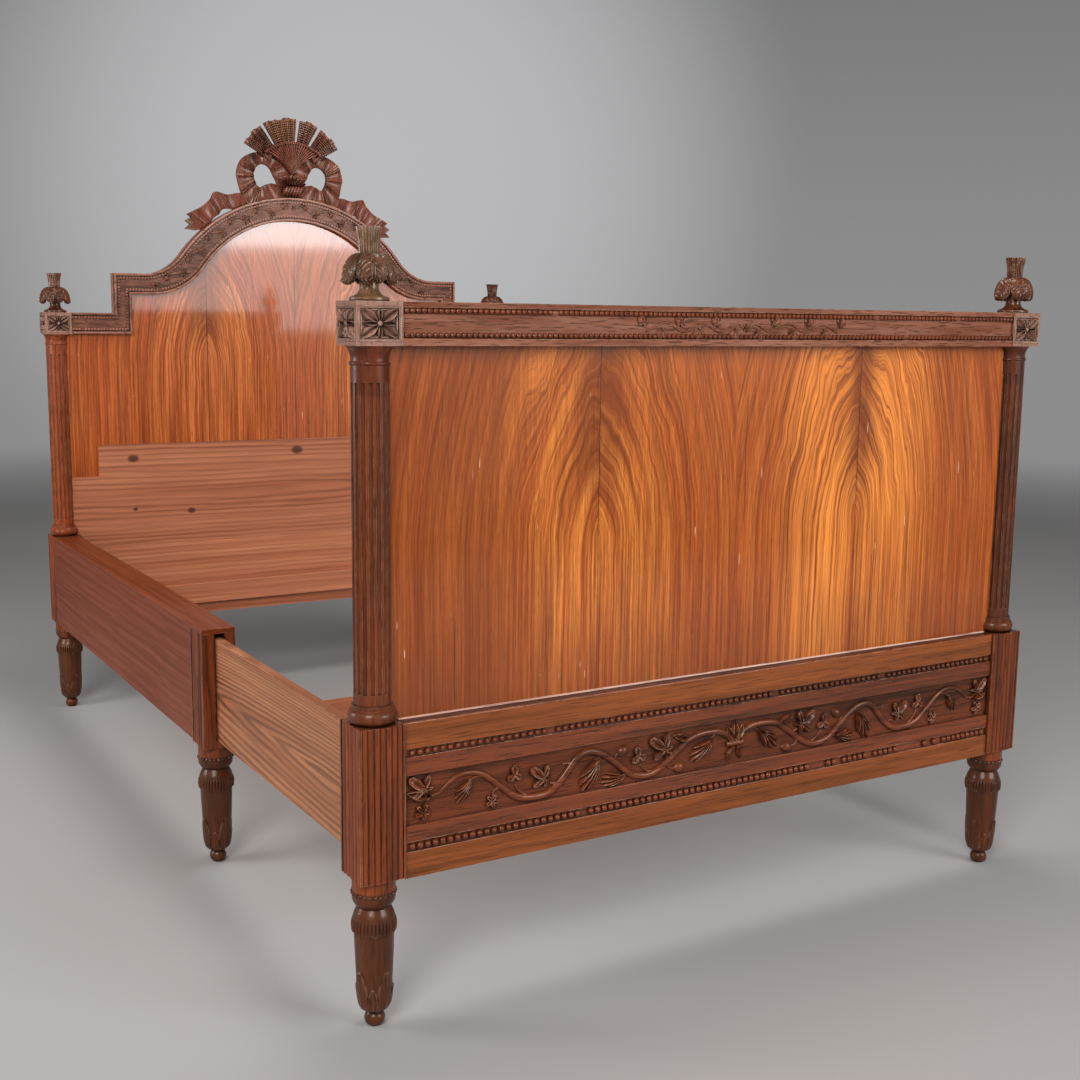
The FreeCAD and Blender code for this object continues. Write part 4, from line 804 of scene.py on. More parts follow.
def make_stage(looks):
    """Floor, lights, world and camera."""
    scene = bpy.context.scene
    reach = 14.0
    floor = Shell()
    floor.sheet([[(-reach, y, 0.0), (reach, y, 0.0)] for y in (-reach, reach)])
    ground = floor.made("studio_floor")
    ground.data.materials.append(floor_paint(looks.floor_colour))
    if ground.data.polygons[0].normal.z < 0:
        ground.data.flip_normals()
    scene.world = bpy.data.worlds.new("studio")
    scene.world.use_nodes = True
    tree = scene.world.node_tree
    tree.nodes.clear()
    way = add(tree, "ShaderNodeTexCoord")["Generated"]
    wall = way.parts()[2].spread(-0.02, 0.45).mix(looks.wall_low, looks.wall_high)
    lit = way.vector("DOT_PRODUCT", (0.405, 0.905, 0.105))["Value"]
    wall = lit.spread(0.950, 1.0).mix(wall, looks.wall_glow)
    ahead = way.vector("DOT_PRODUCT", (-0.42, -0.90, 0.12))["Value"]
    fill = ahead.spread(-0.40, 0.85, looks.fill_strength * 0.22, looks.fill_strength * 1.6)
    soft = add(tree, "ShaderNodeBackground", None, Color=looks.fill_colour, Strength=fill)
    seen = add(tree, "ShaderNodeBackground", None, Color=wall, Strength=1.0)
    ray = add(tree, "ShaderNodeLightPath")
    sees = ray["Is Camera Ray"].least(ray["Is Glossy Ray"].least(ray["Is Transmission Ray"]))
    pick = add(tree, "ShaderNodeMixShader", None, Fac=sees, Shader=soft, Shader_001=seen)
    feed(tree, tree.nodes.new("ShaderNodeOutputWorld").inputs["Surface"], pick)
    lamps = (
        ("key_softbox", (-3.2, -3.8, 3.1), (-0.2, -0.5, 0.55), (1.8, 1.8), looks.key_power, (1.0, 0.97, 0.93)),
        ("top_softbox", (0.15, -0.35, 3.4), (0.1, -0.4, 0.0), (1.1, 1.1), looks.top_power, (1.0, 0.98, 0.96)),
        ("right_softbox", (2.05, -4.5, 2.00), (0.2, -0.6, 1.90), (2.2, 1.0), looks.side_power, (0.97, 0.98, 1.0)),
        ("low_softbox", (2.05, -4.5, 1.22), (0.2, -0.6, 1.16), (2.2, 0.55), looks.low_power, (0.97, 0.98, 1.0)),
        ("left_softbox", (-2.7, 0.5, 1.15), (-1.2, 0.5, 0.0), (0.9, 0.9), looks.left_power, (1.0, 0.99, 0.98)),
    )
    for name, place, aim, size, power, tint in lamps:
        lamp = bpy.data.lights.new(name, "AREA")
        lamp.shape = "RECTANGLE"
        lamp.size, lamp.size_y = size
        lamp.energy = power
        lamp.color = tint
        holder = linked(name, lamp)
        facing = (Vector(aim) - Vector(place)).to_track_quat("-Z", "Y")
        holder.matrix_world = Matrix.Translation(place) @ facing.to_matrix().to_4x4()
        holder.visible_camera = False
    lens = bpy.data.cameras.new("photo_camera")
    lens.lens = 46.38
    lens.sensor_width = 36.0
    lens.clip_end = 60.0
    scene.camera = linked("photo_camera", lens)
    scene.camera.matrix_world = Matrix((
        (0.8574, 0.0705, -0.5098, -1.4284),
        (-0.5145, 0.1394, -0.8461, -2.7435),
        (0.0114, 0.9877, 0.1558, 1.0293),
        (0.0, 0.0, 0.0, 1.0)))
    scene.view_settings.view_transform = "Standard"


def dress_boards(looks):
    """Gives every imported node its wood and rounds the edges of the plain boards."""
    make_woods(looks)
    for make_tree in (bead_row_tree, bead_line_tree, ring_tree, spray_tree):
        make_tree()
    most_faces = 200
    for name, node in NODES.items():
        node.data.materials.clear()
        node.data.materials.append(WOODS[wood_of(name)])
        if len(node.data.polygons) > most_faces or "_panel_" in name:
            continue
        weld = node.modifiers.new("weld", "WELD")
        weld.merge_threshold = 1e-5
        bevel = node.modifiers.new("edges", "BEVEL")
        bevel.width = looks.edge_round
        bevel.segments = 2
        bevel.limit_method = "ANGLE"
        bevel.angle_limit = math.radians(50)
        bevel.harden_normals = False


def arc_points(centre, radius, start, end, count):
    """Points along an arc, by angles from +X."""
    return [(centre[0] + radius * math.cos(start + (end - start) * i / count),
             centre[1] + radius * math.sin(start + (end - start) * i / count)) for i in range(count + 1)]


def arch_line(inner, inset):
    """The headboard moulding's outer or inner line from right to left, moved into the moulding by the inset."""
    end_x = HEAD_AXIS.x - HEAD_WIDE / 2
    if inner:
        riser, flat, rise, share = end_x - 0.1545, end_x - 0.2045, 0.206, 0.635
        level, shoulder, shift = HEAD_TOP - 0.054 + inset, HEAD_TOP + 0.048, -inset
    else:
        riser, flat, rise, share = end_x - 0.1105, end_x - 0.1845, 0.214, 0.752
        level, shoulder, shift = HEAD_TOP - inset, HEAD_TOP + 0.102, inset
    both = (flat * flat + rise * rise) / (2 * rise)
    crown, flare = both * share - shift, both * (1 - share) + shift
    lean = math.asin(flat / both)
    run = [(end_x - 0.004, level), (riser - shift, level), (riser - shift, shoulder - shift)]
    run += arc_points((flat, shoulder + both * (1 - share)), flare, -QUARTER, -QUARTER - lean, 14)
    run += arc_points((0.0, shoulder + rise - both * share), crown, QUARTER - lean, QUARTER, 22)[1:]
    return run + [(-x, z) for x, z in reversed(run[:-1])]


# Where beads have broken off, as spans of X
LOW_GAPS = ((-0.300, -0.288), (0.168, 0.200), (0.224, 0.235), (0.300, 0.313), (0.368, 0.436), (0.446, 0.457),
            (0.470, 0.481))
HIGH_GAPS = ((-0.366, -0.350), (0.080, 0.092), (0.330, 0.342))


def bead_rows(looks):
    """All bead rows: two on the bottom rail, two on the top rail and two round the headboard's moulding."""
    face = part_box("foot_low_strip")[0].y
    margin, proud, bed_depth = 0.006, 0.0012, 0.0036
    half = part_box("foot_low_bead")[1].x - margin
    pitch = looks.bead_pitch
    for node, radius, lost in (("foot_low_bead", looks.bead_radius, LOW_GAPS),
                               ("foot_high_bead", looks.bead_radius * 0.8, HIGH_GAPS)):
        low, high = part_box(node)
        places = [pitch * (k + 0.5) - half for k in range(int(2 * half / pitch))]
        spots = [(x, face + proud, (low.z + high.z) / 2) for x in places
                 if not any(start < x < end for start, end in lost)]
        row = Shell()
        row.join(grown("bead row", points_mesh(spots), Radius=radius, Seed=5, Material=WOODS["carved_x"]))
        bed = face + bed_depth
        row.sheet([[(x, bed, low.z), (x, bed, high.z), (x, high.y, high.z), (x, high.y, low.z)]
                   for x in (low.x, high.x)], wrap=True, cap=True)
        row.dressed(node + "_row", "carved_x", FOOT, node=node)
    low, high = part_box("foot_top_rail")
    row = Shell()
    for z, seed in ((high.z - 0.0125, 3), (low.z + 0.0145, 4)):
        line = points_mesh([(x, low.y + 0.0020, z) for x in (low.x + margin, high.x - margin)], joined=True)
        row.join(grown("bead line", line, Pitch=0.0088, Radius=0.0042, Missing=0.03, Seed=seed,
                       Material=WOODS["carved_x"]))
    row.dressed("foot_top_rail_beads", "carved_x", FOOT)
    row = Shell()
    for inner in (False, True):
        line = points_mesh([(x, ARCH_FRONT + 0.0034, z) for x, z in arch_line(inner, 0.012)], joined=True)
        row.join(grown("bead line", line, Pitch=0.0078, Radius=0.0037, Missing=0.02, Seed=7, Material=WOODS["rim"]))
    row.dressed("head_moulding_beads", "rim", HEAD)


# The bottom rail's vine, left half, as places in its sunk plane from the bed's middle line: (X, height)
VINE_STEM = (
    (-0.557, 0.0015), (-0.546, 0.0047), (-0.533, 0.0145), (-0.518, 0.0241), (-0.501, 0.0265), (-0.482, 0.0235),
    (-0.467, 0.0149), (-0.452, 0.0028), (-0.436, -0.0103), (-0.421, -0.0217), (-0.405, -0.0280), (-0.387, -0.0300),
    (-0.369, -0.0295), (-0.355, -0.0247), (-0.341, -0.0145), (-0.329, -0.0021), (-0.319, 0.0094), (-0.309, 0.0195),
    (-0.295, 0.0256), (-0.280, 0.0248), (-0.265, 0.0196), (-0.247, 0.0084), (-0.234, -0.0022), (-0.220, -0.0142),
    (-0.207, -0.0235), (-0.189, -0.0286), (-0.171, -0.0288), (-0.155, -0.0240), (-0.141, -0.0155), (-0.128, -0.0062),
    (-0.110, 0.0064), (-0.094, 0.0167), (-0.075, 0.0220), (-0.056, 0.0232), (-0.037, 0.0220), (-0.022, 0.0165),
    (-0.010, 0.0085), (-0.004, 0.0000),
)
VINE_TWIGS = (
    ((-0.479, 0.0194), (-0.488, 0.0178), (-0.498, 0.0140)), ((-0.557, 0.0015), (-0.567, -0.0062), (-0.571, -0.0130)),
    ((-0.447, -0.0047), (-0.455, -0.0089), (-0.458, -0.0179)),
    ((-0.400, -0.0257), (-0.414, -0.0140), (-0.420, -0.0042)),
    ((-0.338, -0.0118), (-0.348, -0.0143), (-0.358, -0.0135)), ((-0.256, 0.0155), (-0.265, 0.0149), (-0.276, 0.0105)),
    ((-0.158, -0.0262), (-0.176, -0.0222), (-0.191, -0.0099)), ((-0.112, 0.0042), (-0.122, -0.0018), (-0.136, 0.0012)),
    ((-0.232, -0.0012), (-0.237, 0.0086), (-0.233, 0.0150)), ((-0.136, -0.0120), (-0.134, -0.0230), (-0.122, -0.0281)),
    ((-0.036, 0.0190), (-0.044, 0.0162), (-0.052, 0.0110)), ((-0.316, 0.0135), (-0.325, 0.0130), (-0.336, 0.0138)),
    ((-0.212, -0.0200), (-0.222, -0.0222), (-0.234, -0.0230)),
)
# Each kind of carved leaf: its place, its heading in degrees and its length
VINE_LEAVES = {
    "maple": ((-0.557, 0.0015, 141, 0.046), (-0.355, -0.0150, 140, 0.045), (-0.126, -0.0028, 146, 0.052)),
    "lens": ((-0.560, 0.0013, 167, 0.036), (-0.097, 0.0188, 162, 0.027)),
    "flower": ((-0.574, -0.0205, -10, 0.024), (-0.459, -0.0240, -11, 0.021)),
    "trefoil": ((-0.420, -0.0062, 92, 0.030), (-0.191, -0.0125, 101, 0.031)),
    "comb": ((-0.496, 0.0165, -124, 0.038), (-0.272, 0.0135, -120, 0.053), (-0.221, -0.0223, -174, 0.043),
             (-0.050, 0.0135, -140, 0.050)),
    "bud": ((-0.235, 0.0110, 31, 0.023), (-0.126, -0.0275, 5, 0.023)),
}


def leaf_makers():
    """Each kind of carved leaf as a template shell of unit length."""
    return {
        "maple": lobed_shell(((0.0, 0.60, 0.80), (1.30, 0.44, 0.60), (-1.30, 0.44, 0.60), (2.45, 0.30, 0.45),
                              (-2.45, 0.30, 0.45)), centre=0.40, power=1.1, high=0.13),
        "trefoil": lobed_shell(((0.0, 0.48, 0.95), (2.15, 0.46, 0.90), (-2.15, 0.46, 0.90)), centre=0.52, power=0.55,
                               high=0.15),
        "flower": lobed_shell([(turn, 0.5, 0.62) for turn in around(5)], centre=0.0, power=0.5, high=0.20),
        "comb": comb_shell(),
        "lens": petal_shell(fat=0.27, rise=0.19),
        "bud": bud_shell(),
    }


def carve(shell, groups, wood):
    """Adds every kind of leaf to a shell in the carving plane."""
    makers = leaf_makers()
    for kind, group in groups.items():
        spots = [((x, z, 0.0), turn, (size, size, size)) for (x, z), turn, size in group]
        sprayed(shell, makers[kind], wood, spots)


def carved_vine(stems, groups, wood):
    """Stems, each with its first and its last radius, and leaves as one shell in the carving plane."""
    shell = Shell()
    for line, (first, last) in stems:
        path = smooth_line([(x, z, 0.0) for x, z in line], 5)
        shell.tube(path, lambda t: first + (last - first) * min(1.0, 4.0 * t), sides=10, flat=0.95)
    carve(shell, groups, wood)
    return shell


def frieze_vine():
    """The carved vine in the bottom rail's sunk frieze, with the tied bunch in its middle."""
    low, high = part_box("foot_low_moulding")[1].z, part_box("foot_high_moulding")[0].z
    tie_radii, stem_radii, twig_radii = (0.0050, 0.0050), (0.0028, 0.0060), (0.0034, 0.0022)
    stems = [([(-0.017, -0.003), (0.0, -0.003), (0.017, -0.003)], tie_radii)]
    groups = {kind: [] for kind in VINE_LEAVES}
    for side in (1, -1):
        stems.append(([(side * x, z) for x, z in VINE_STEM], stem_radii))
        stems += [([(side * x, z) for x, z in twig], twig_radii) for twig in VINE_TWIGS]
        for kind, group in VINE_LEAVES.items():
            groups[kind] += [((side * x, z), math.radians(turn if side > 0 else 180 - turn), size * 1.10)
                             for x, z, turn, size in group]
        groups["lens"].append(((side * 0.004, 0.002), math.radians(90 - side * 26), 0.029))
        groups["comb"].append(((side * 0.006, -0.007), math.radians(-90 + side * 20), 0.027))
    groups["lens"].append(((0.0, 0.002), QUARTER, 0.033))
    carved_vine(stems, groups, "carved_x").dressed(
        "foot_frieze_vine", "carved_x", FOOT, carving_plane(0.0, FRIEZE_FACE, (low + high) / 2))


def small_vine(length, wave, height, thick, seed):
    """Stems and leaves of a small running scroll from its middle to both ends."""
    rng = random.Random(seed)
    stems = []
    groups = {"maple": [], "bud": [], "flower": [((0.0, 0.0), 0.0, wave * 0.2)]}
    for side in (-1, 1):
        turns = [(side * wave * (0.25 + 0.5 * i), -1 if i % 2 == 0 else 1) for i in range(2 * int(length / wave))]
        stems.append(([(side * 0.006, 0.0)] + [(x, -height * up) for x, up in turns], (thick, thick * 0.8)))
        for x, up in turns:
            twig = [(x - side * wave * 0.16, -up * height * 0.4), (x, -up * height * 0.1),
                    (x + side * wave * 0.10, up * height * 0.7)]
            stems.append((twig, (thick * 0.7, thick * 0.5)))
            heading = math.radians(60 * up) if side > 0 else math.pi - math.radians(60 * up)
            groups["maple"].append(((x, -up * height * 0.2), heading, wave * rng.uniform(0.30, 0.36)))
            groups["bud"].append(((x + side * wave * 0.12, up * height * 0.5), heading, wave * 0.2))
    return stems, groups


def rail_vine():
    """The small vine in the middle of the top rail's frieze."""
    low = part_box("foot_top_rail")[0]
    stems, groups = small_vine(length=0.252, wave=0.070, height=0.0068, thick=0.0022, seed=4)
    carved_vine(stems, groups, "dusty").dressed(
        "foot_top_rail_vine", "dusty", FOOT, carving_plane(-0.007, low.y + 0.003, low.z + 0.0285))


def arch_vine():
    """The low vine along the headboard's moulding between its bead rows, and the rims beside them, rubbed pale at their
    edges and with a painted highlight on their upper part.
    """
    middle = arch_line(False, 0.027)[2:-2]
    lengths = [0.0]
    for first, second in zip(middle, middle[1:]):
        lengths.append(lengths[-1] + math.dist(first, second))
    whole = lengths[-1]

    def along(run, off):
        spot = min(max(run + whole / 2, 0.0), whole - 1e-6)
        i = max(k for k in range(len(lengths) - 1) if lengths[k] <= spot)
        share = (spot - lengths[i]) / (lengths[i + 1] - lengths[i])
        (x1, z1), (x2, z2) = middle[i], middle[i + 1]
        turn = math.atan2(z2 - z1, x2 - x1)
        return (x1 + (x2 - x1) * share + off * math.sin(turn), z1 + (z2 - z1) * share - off * math.cos(turn)), turn

    stems, groups = small_vine(whole / 2 - 0.01, wave=0.078, height=0.0085, thick=0.0028, seed=9)
    shell = Shell()
    for line, (first, last) in stems:
        path = [(*along(p.x, p.y)[0], 0.0) for p in smooth_line([(x, z, 0.0) for x, z in line], 5)]
        shell.tube(path, lambda t: first + (last - first) * t, sides=6)
    for kind, group in groups.items():
        places = [along(x, z) for (x, z), turn, size in group]
        groups[kind] = [(spot, turn + lean, size) for (spot, lean), (_, turn, size) in zip(places, group)]
    carve(shell, groups, "arch")
    shell.dressed("head_arch_vine", "arch", HEAD, carving_plane(0.0, ARCH_FRONT + 0.004, 0.0))
    rims = Shell()
    for inner, near, far in ((False, 0.0006, 0.0060), (True, 0.0006, 0.0058)):
        rows = []
        for (x1, z1), (x2, z2) in zip(arch_line(inner, near), arch_line(inner, far)):
            rows.append([(x1, z1, -0.003), (x1, z1, 0.0006), ((x1 + x2) / 2, (z1 + z2) / 2, 0.0018),
                         (x2, z2, 0.0006), (x2, z2, -0.003)])
        rims.sheet(rows, wrap=True, cap=True)
    rims.dressed("head_moulding_rims", "rim", HEAD, carving_plane(0.0, ARCH_FRONT, 0.0))


def rosette_shell(wide, high):
    """A star of double-ribbed leaves round a button inside a double frame."""
    shell = Shell()
    corner = math.atan2(high, wide)
    spots = []
    for angle, size, fat in ((0.0, wide * 0.37, 0.95), (QUARTER, high * 0.42, 0.95),
                             (corner, math.hypot(wide, high) * 0.47, 1.0)):
        for turn in (angle, math.pi - angle, math.pi + angle, -angle):
            spots.append(((0.0035 * math.cos(turn), 0.0035 * math.sin(turn), 0.0), turn, (size, size * fat, 0.022)))
    sprayed(shell, petal_shell(fat=0.25, rise=0.30), "capital", spots)
    shell.lathe([(0.0002, -0.001), (0.0036, -0.001), (0.0038, 0.0042), (0.0026, 0.0056), (0.0002, 0.0060)],
                sides=12)
    for inset, thick, base in ((0.0016, 0.0015, 0.0008), (-0.0032, 0.0010, 0.0036)):
        a, b = wide / 2 - inset, high / 2 - inset
        corners = [(-a, -b, base), (a, -b, base), (a, b, base), (-a, b, base)]
        for start, end in zip(corners, corners[1:] + corners[:1]):
            shell.tube([start, end], lambda t: thick, sides=6)
    return shell


def rosettes():
    """A rosette in the front and in the outer side of each capital."""
    sink = 0.0035
    for label, body, axis, top, wide, high in ENDS:
        middle, out = top - high / 2, wide / 2 - sink
        star = rosette_shell(wide - 0.013, high - 0.020)
        for side, word in SIDES:
            shell = Shell()
            for plane in (carving_plane(side * axis.x, axis.y - out, middle),
                          carving_plane(side * (axis.x + out), axis.y, middle, side)):
                shell.take([plane @ Vector(v) for v in star.verts], star.faces)
            shell.dressed("%s_rosettes_%s" % (label, word), "capital", body)


# Profile of the finials, the middle line of their leaves and the stalks of their sheaf: (radius, height),
# (radius, height) and (height, radius, distance from the axis)
FINIAL_PROFILE = (
    (0.0002, 0.0), (0.0268, 0.0), (0.0278, 0.0015), (0.0276, 0.0040), (0.0258, 0.0055), (0.0215, 0.0068),
    (0.0165, 0.0095), (0.0138, 0.0140), (0.0130, 0.0185), (0.0132, 0.0260), (0.0120, 0.0330), (0.0240, 0.0390),
    (0.0270, 0.0460), (0.0220, 0.0540), (0.0120, 0.0605), (0.0112, 0.0640), (0.0116, 0.0780), (0.0132, 0.0940),
    (0.0130, 0.0965), (0.0002, 0.0970))
LEAF_LINE = ((0.0130, 0.0640), (0.0205, 0.0620), (0.0285, 0.0550), (0.0330, 0.0450), (0.0348, 0.0350),
             (0.0352, 0.0285), (0.0374, 0.0258))
STALK_LINE = ((0.058, 0.0017, 0.0116), (0.078, 0.0019, 0.0124), (0.090, 0.0022, 0.0140), (0.097, 0.0024, 0.0152),
              (0.0988, 0.0018, 0.0156))
LEAF_COLUMNS = 24


def finial_leaf():
    """One broad drooping leaf of a finial at angle zero: a double ridge, arched ribs and a hooked tip."""
    line = smooth_line([(x, 0, z) for x, z in LEAF_LINE], 9)
    loops = []
    for i, spot in enumerate(line):
        t = i / (len(line) - 1)
        half = math.radians(44) * (1.0 - max(0.0, (t - 0.50) / 0.50) ** 2.0 * 0.86)
        row = []
        for j in range(LEAF_COLUMNS + 1):
            s = 2.0 * j / LEAF_COLUMNS - 1.0
            rib = 0.0042 * (abs(math.sin(math.pi * (7.0 * t - 2.6 * abs(s) ** 1.4))) ** 0.6 - 0.75)
            rib *= min(1.0, abs(s) / 0.16)
            vein = 0.0034 * math.exp(-((abs(s) - 0.09) / 0.06) ** 2)
            out = spot.x + (rib + vein - 0.0040 * abs(s) ** 3) * (0.25 + 0.75 * t)
            row.append((out * math.cos(s * half), out * math.sin(s * half), spot.z - 0.004 * s * s * t))
        loops.append(row + [(x * 0.84, y * 0.84, z - 0.0012) for x, y, z in reversed(row)])
    shell = Shell()
    shell.plate(loops)
    return shell


def finials():
    """Turned and carved finials: foot, stem, drooping leaves and a sheaf of stalks."""
    leaf, stalk = finial_leaf(), Shell()
    stalk.sheet([[(out + r * math.cos(turn), r * math.sin(turn), z) for turn in around(7)] for z, r, out in STALK_LINE],
                wrap=True, cap=True)
    for label, body, axis, top, _, _ in ENDS:
        for side, word in SIDES:
            wood = "golden" if label == "foot" and side < 0 else "finial"
            shell = Shell()
            shell.lathe(FINIAL_PROFILE, sides=32)
            ringed(shell, leaf, wood, count=4, phase=math.radians(-104))
            ringed(shell, stalk, wood, count=24, phase=0.1)
            node = "%s_finial_%s" % (label, word)
            place = Matrix.Translation((side * axis.x, axis.y, top))
            shell.dressed(node + "_carved", wood, body, place, node, TURNED)


# Carved leg as (height, radius), from the ball to the ring's scalloped edge, and the ring above it
LEG_BODY = ((0.0225, 0.0125), (0.0250, 0.0165), (0.0290, 0.0203), (0.0350, 0.0232), (0.0440, 0.0249),
            (0.0560, 0.0258), (0.1000, 0.0279), (0.1300, 0.0291), (0.1500, 0.0297))
LEG_RING = ((0.1530, 0.0334), (0.1580, 0.0337), (0.1630, 0.0333), (0.1670, 0.0324), (0.1690, 0.0312),
            (0.1720, 0.0306), (0.1760, 0.0294), (0.1800, 0.0276), (0.1835, 0.0258), (0.1860, 0.0246))
RING_GROOVES = 36
RING_SCALLOPS = 18


def leg_radius(high):
    """The carved leg's radius at a height."""
    for (z1, r1), (z2, r2) in zip(LEG_BODY, LEG_BODY[1:]):
        if high <= z2:
            return r1 + (r2 - r1) * max(0.0, high - z1) / (z2 - z1)
    return LEG_BODY[-1][1]


def leg_sleeve():
    """The leg's tapered body under its grooved ring, whose lower edge is scalloped."""
    turns = around(RING_GROOVES * 6)

    def ring(radius, high, groove=0.0, scallop=0.0):
        row = []
        for turn in turns:
            out = radius - groove * (1.0 - abs(math.sin(turn * RING_GROOVES / 2)) ** 0.7)
            dip = scallop * abs(math.sin(turn * RING_SCALLOPS / 2)) ** 0.7
            row.append((out * math.cos(turn), out * math.sin(turn), high - dip))
        return row

    rows = [ring(radius, z) for z, radius in LEG_BODY[:-1]]
    rows += [ring(radius, 0.1512, scallop=0.0030) for radius in (0.0297, 0.0326)]
    rows += [ring(radius, z, 0.0022 if z < 0.1675 else 0.0) for z, radius in LEG_RING]
    shell = Shell()
    shell.sheet(rows, wrap=True, cap=True)
    return shell


def foot_leaves(count):
    """Tall and short pointed leaves that wrap the lower leg, each with a raised rim and midrib."""
    shell = Shell()
    low = 0.0252
    for k in range(2 * count):
        half, top, lift = ((0.0142, 0.092, 0.0010), (0.0085, 0.066, 0.0004))[k % 2]
        middle = math.tau * (k + 0.35) / (2 * count)

        def spot(t, s):
            z = low + (top - low) * t
            shape = min(1.0, 0.45 + 1.6 * t) * max(0.02, (1.0 - t ** 3.2)) ** 0.7
            up = lift + 0.0011 * abs(s) ** 5 + 0.0010 * math.exp(-(s / 0.13) ** 2) + 0.0012 * t ** 3
            return middle + s * half * shape / leg_radius(z), z, -0.0015 if abs(s) > 0.99 or t in (0.0, 1.0) else up

        leaf = relief_of(spot, rows=16, columns=12, base=-0.002)
        shell.take([((leg_radius(z) + rise) * math.cos(turn), (leg_radius(z) + rise) * math.sin(turn), z)
                    for turn, z, rise in leaf.verts], leaf.faces)
    return shell


def leg_carving():
    """Carving on each leg: beads under the collar, a grooved ring and leaves that wrap the foot."""
    sleeve, leaves = leg_sleeve(), foot_leaves(count=4)
    radius, x, z = 0.0030, 0.0314, 0.2085
    bead = Shell()
    bead.lathe([(share * radius, high * radius) for share, high in
                ((0.05, -1.0), (0.7, -0.7), (1.0, 0.0), (0.7, 0.7), (0.05, 1.0))], sides=8)
    bead.verts = [(px + x, py, pz + z) for px, py, pz in bead.verts]
    for label, body, axis in (("foot", FOOT, FOOT_AXIS), ("head", HEAD, HEAD_AXIS), ("mid", HEAD, MID_AXIS)):
        for side, word in SIDES:
            shell = Shell()
            ringed(shell, bead, "post", count=26, phase=0.0)
            for part in (sleeve, leaves):
                shell.take(part.verts, part.faces)
            place = Matrix.Translation((side * axis.x, axis.y, 0.0))
            shell.dressed("%s_leg_carving_%s" % (label, word), "post", body, place, slot=TURNED)


# Ribbon outlines as shares of the loop's reach and height, or of the tail's reach and the loop's height
LOOP_OUTER = (
    (0.02, 0.55), (0.10, 0.94), (0.32, 1.13), (0.62, 1.16), (0.87, 1.01), (1.00, 0.66),
    (0.95, 0.20), (0.80, -0.18), (0.40, -0.14), (0.06, -0.04),
)
LOOP_HOLE = (
    (0.26, 0.37), (0.32, 0.58), (0.38, 0.75), (0.44, 0.83), (0.51, 0.86), (0.58, 0.84), (0.64, 0.78), (0.69, 0.66),
    (0.697, 0.53), (0.665, 0.37), (0.60, 0.25), (0.50, 0.31), (0.40, 0.37),
)
TAIL_TOP = ((0.12, -0.02), (0.34, 0.02), (0.50, 0.08), (0.62, 0.02), (0.735, 0.07), (0.78, -0.13), (0.86, -0.32),
            (1.0, -0.53))
TAIL_LOW = ((0.12, -0.22), (0.26, -0.36), (0.42, -0.40), (0.53, -0.36), (0.655, -0.36), (0.705, -0.50),
            (0.765, -0.64), (0.82, -0.88))
TAIL_END = ((1.0, -0.53), (0.965, -0.61), (1.02, -0.70), (0.975, -0.79), (1.024, -0.91), (0.92, -0.94),
            (0.82, -0.88))
LOOP_REACH = 0.151
LOOP_HIGH = 0.102
TAIL_REACH = 0.290
RIBBON_DEEP = 0.015
STALK_Z = 0.062


def scaled(points, wide):
    """Spots of a ribbon's outline from its shares."""
    return [Vector((x * wide, z * LOOP_HIGH, 0)) for x, z in points]


def closed_radii(spots, centre, count):
    """The distance from a centre to a smooth closed line, at even angles."""
    whole = len(spots)
    ring = [spot for i in range(whole) for spot in between(*(spots[(i + k) % whole] for k in (-1, 0, 1, 2)), 12)]
    polar = sorted((math.atan2(p.y - centre[1], p.x - centre[0]) % math.tau,
                    math.hypot(p.x - centre[0], p.y - centre[1])) for p in ring)
    polar = [(polar[-1][0] - math.tau, polar[-1][1])] + polar + [(polar[0][0] + math.tau, polar[0][1])]
    radii = []
    for turn in around(count):
        k = max(j for j in range(len(polar) - 1) if polar[j][0] <= turn)
        (a, r1), (b, r2) = polar[k], polar[k + 1]
        radii.append(r1 + (r2 - r1) * (turn - a) / max(b - a, 1e-9))
    return radii


def pleat(run, seed):
    """Height of a ribbon's pleats at a place along it, from 0 to 1: flat parts with groups of sharp creases."""
    part = (run * 1.35 + seed) % 1.0
    crease = sum(high * math.exp(-((part - place) / 0.055) ** 2)
                 for place, high in ((0.30, 0.7), (0.46, 1.0), (0.60, 0.6)))
    return 0.35 * math.sin(math.pi * part) ** 2 + 0.65 * crease


def ribbon_loop(shell, side):
    """One loop of the bow: a pleated band round its hole."""
    centre = (0.53 * LOOP_REACH, 0.54 * LOOP_HIGH)
    count = 240
    outer, inner = (closed_radii(scaled(line, LOOP_REACH), centre, count) for line in (LOOP_OUTER, LOOP_HOLE))
    rows = []
    for turn, far, near in zip(around(count), outer, inner):
        fold = pleat(turn * 1.15, 0.6)
        front = []
        for j in range(9):
            s = j / 8
            radius = (near + (far - near) * s) * (1.0 + 0.012 * (fold - 0.5) * s)
            roll = math.sin(math.pi * (0.08 + 0.84 * s)) ** 0.5
            front.append((side * (centre[0] + radius * math.cos(turn)), centre[1] + radius * math.sin(turn),
                          RIBBON_DEEP - 0.0040 + 0.0048 * fold + 0.003 * roll))
        rows.append(front + [(x, z, 0.0004) for x, z, high in reversed(front)])
    shell.sheet(rows + rows[:1], wrap=True)


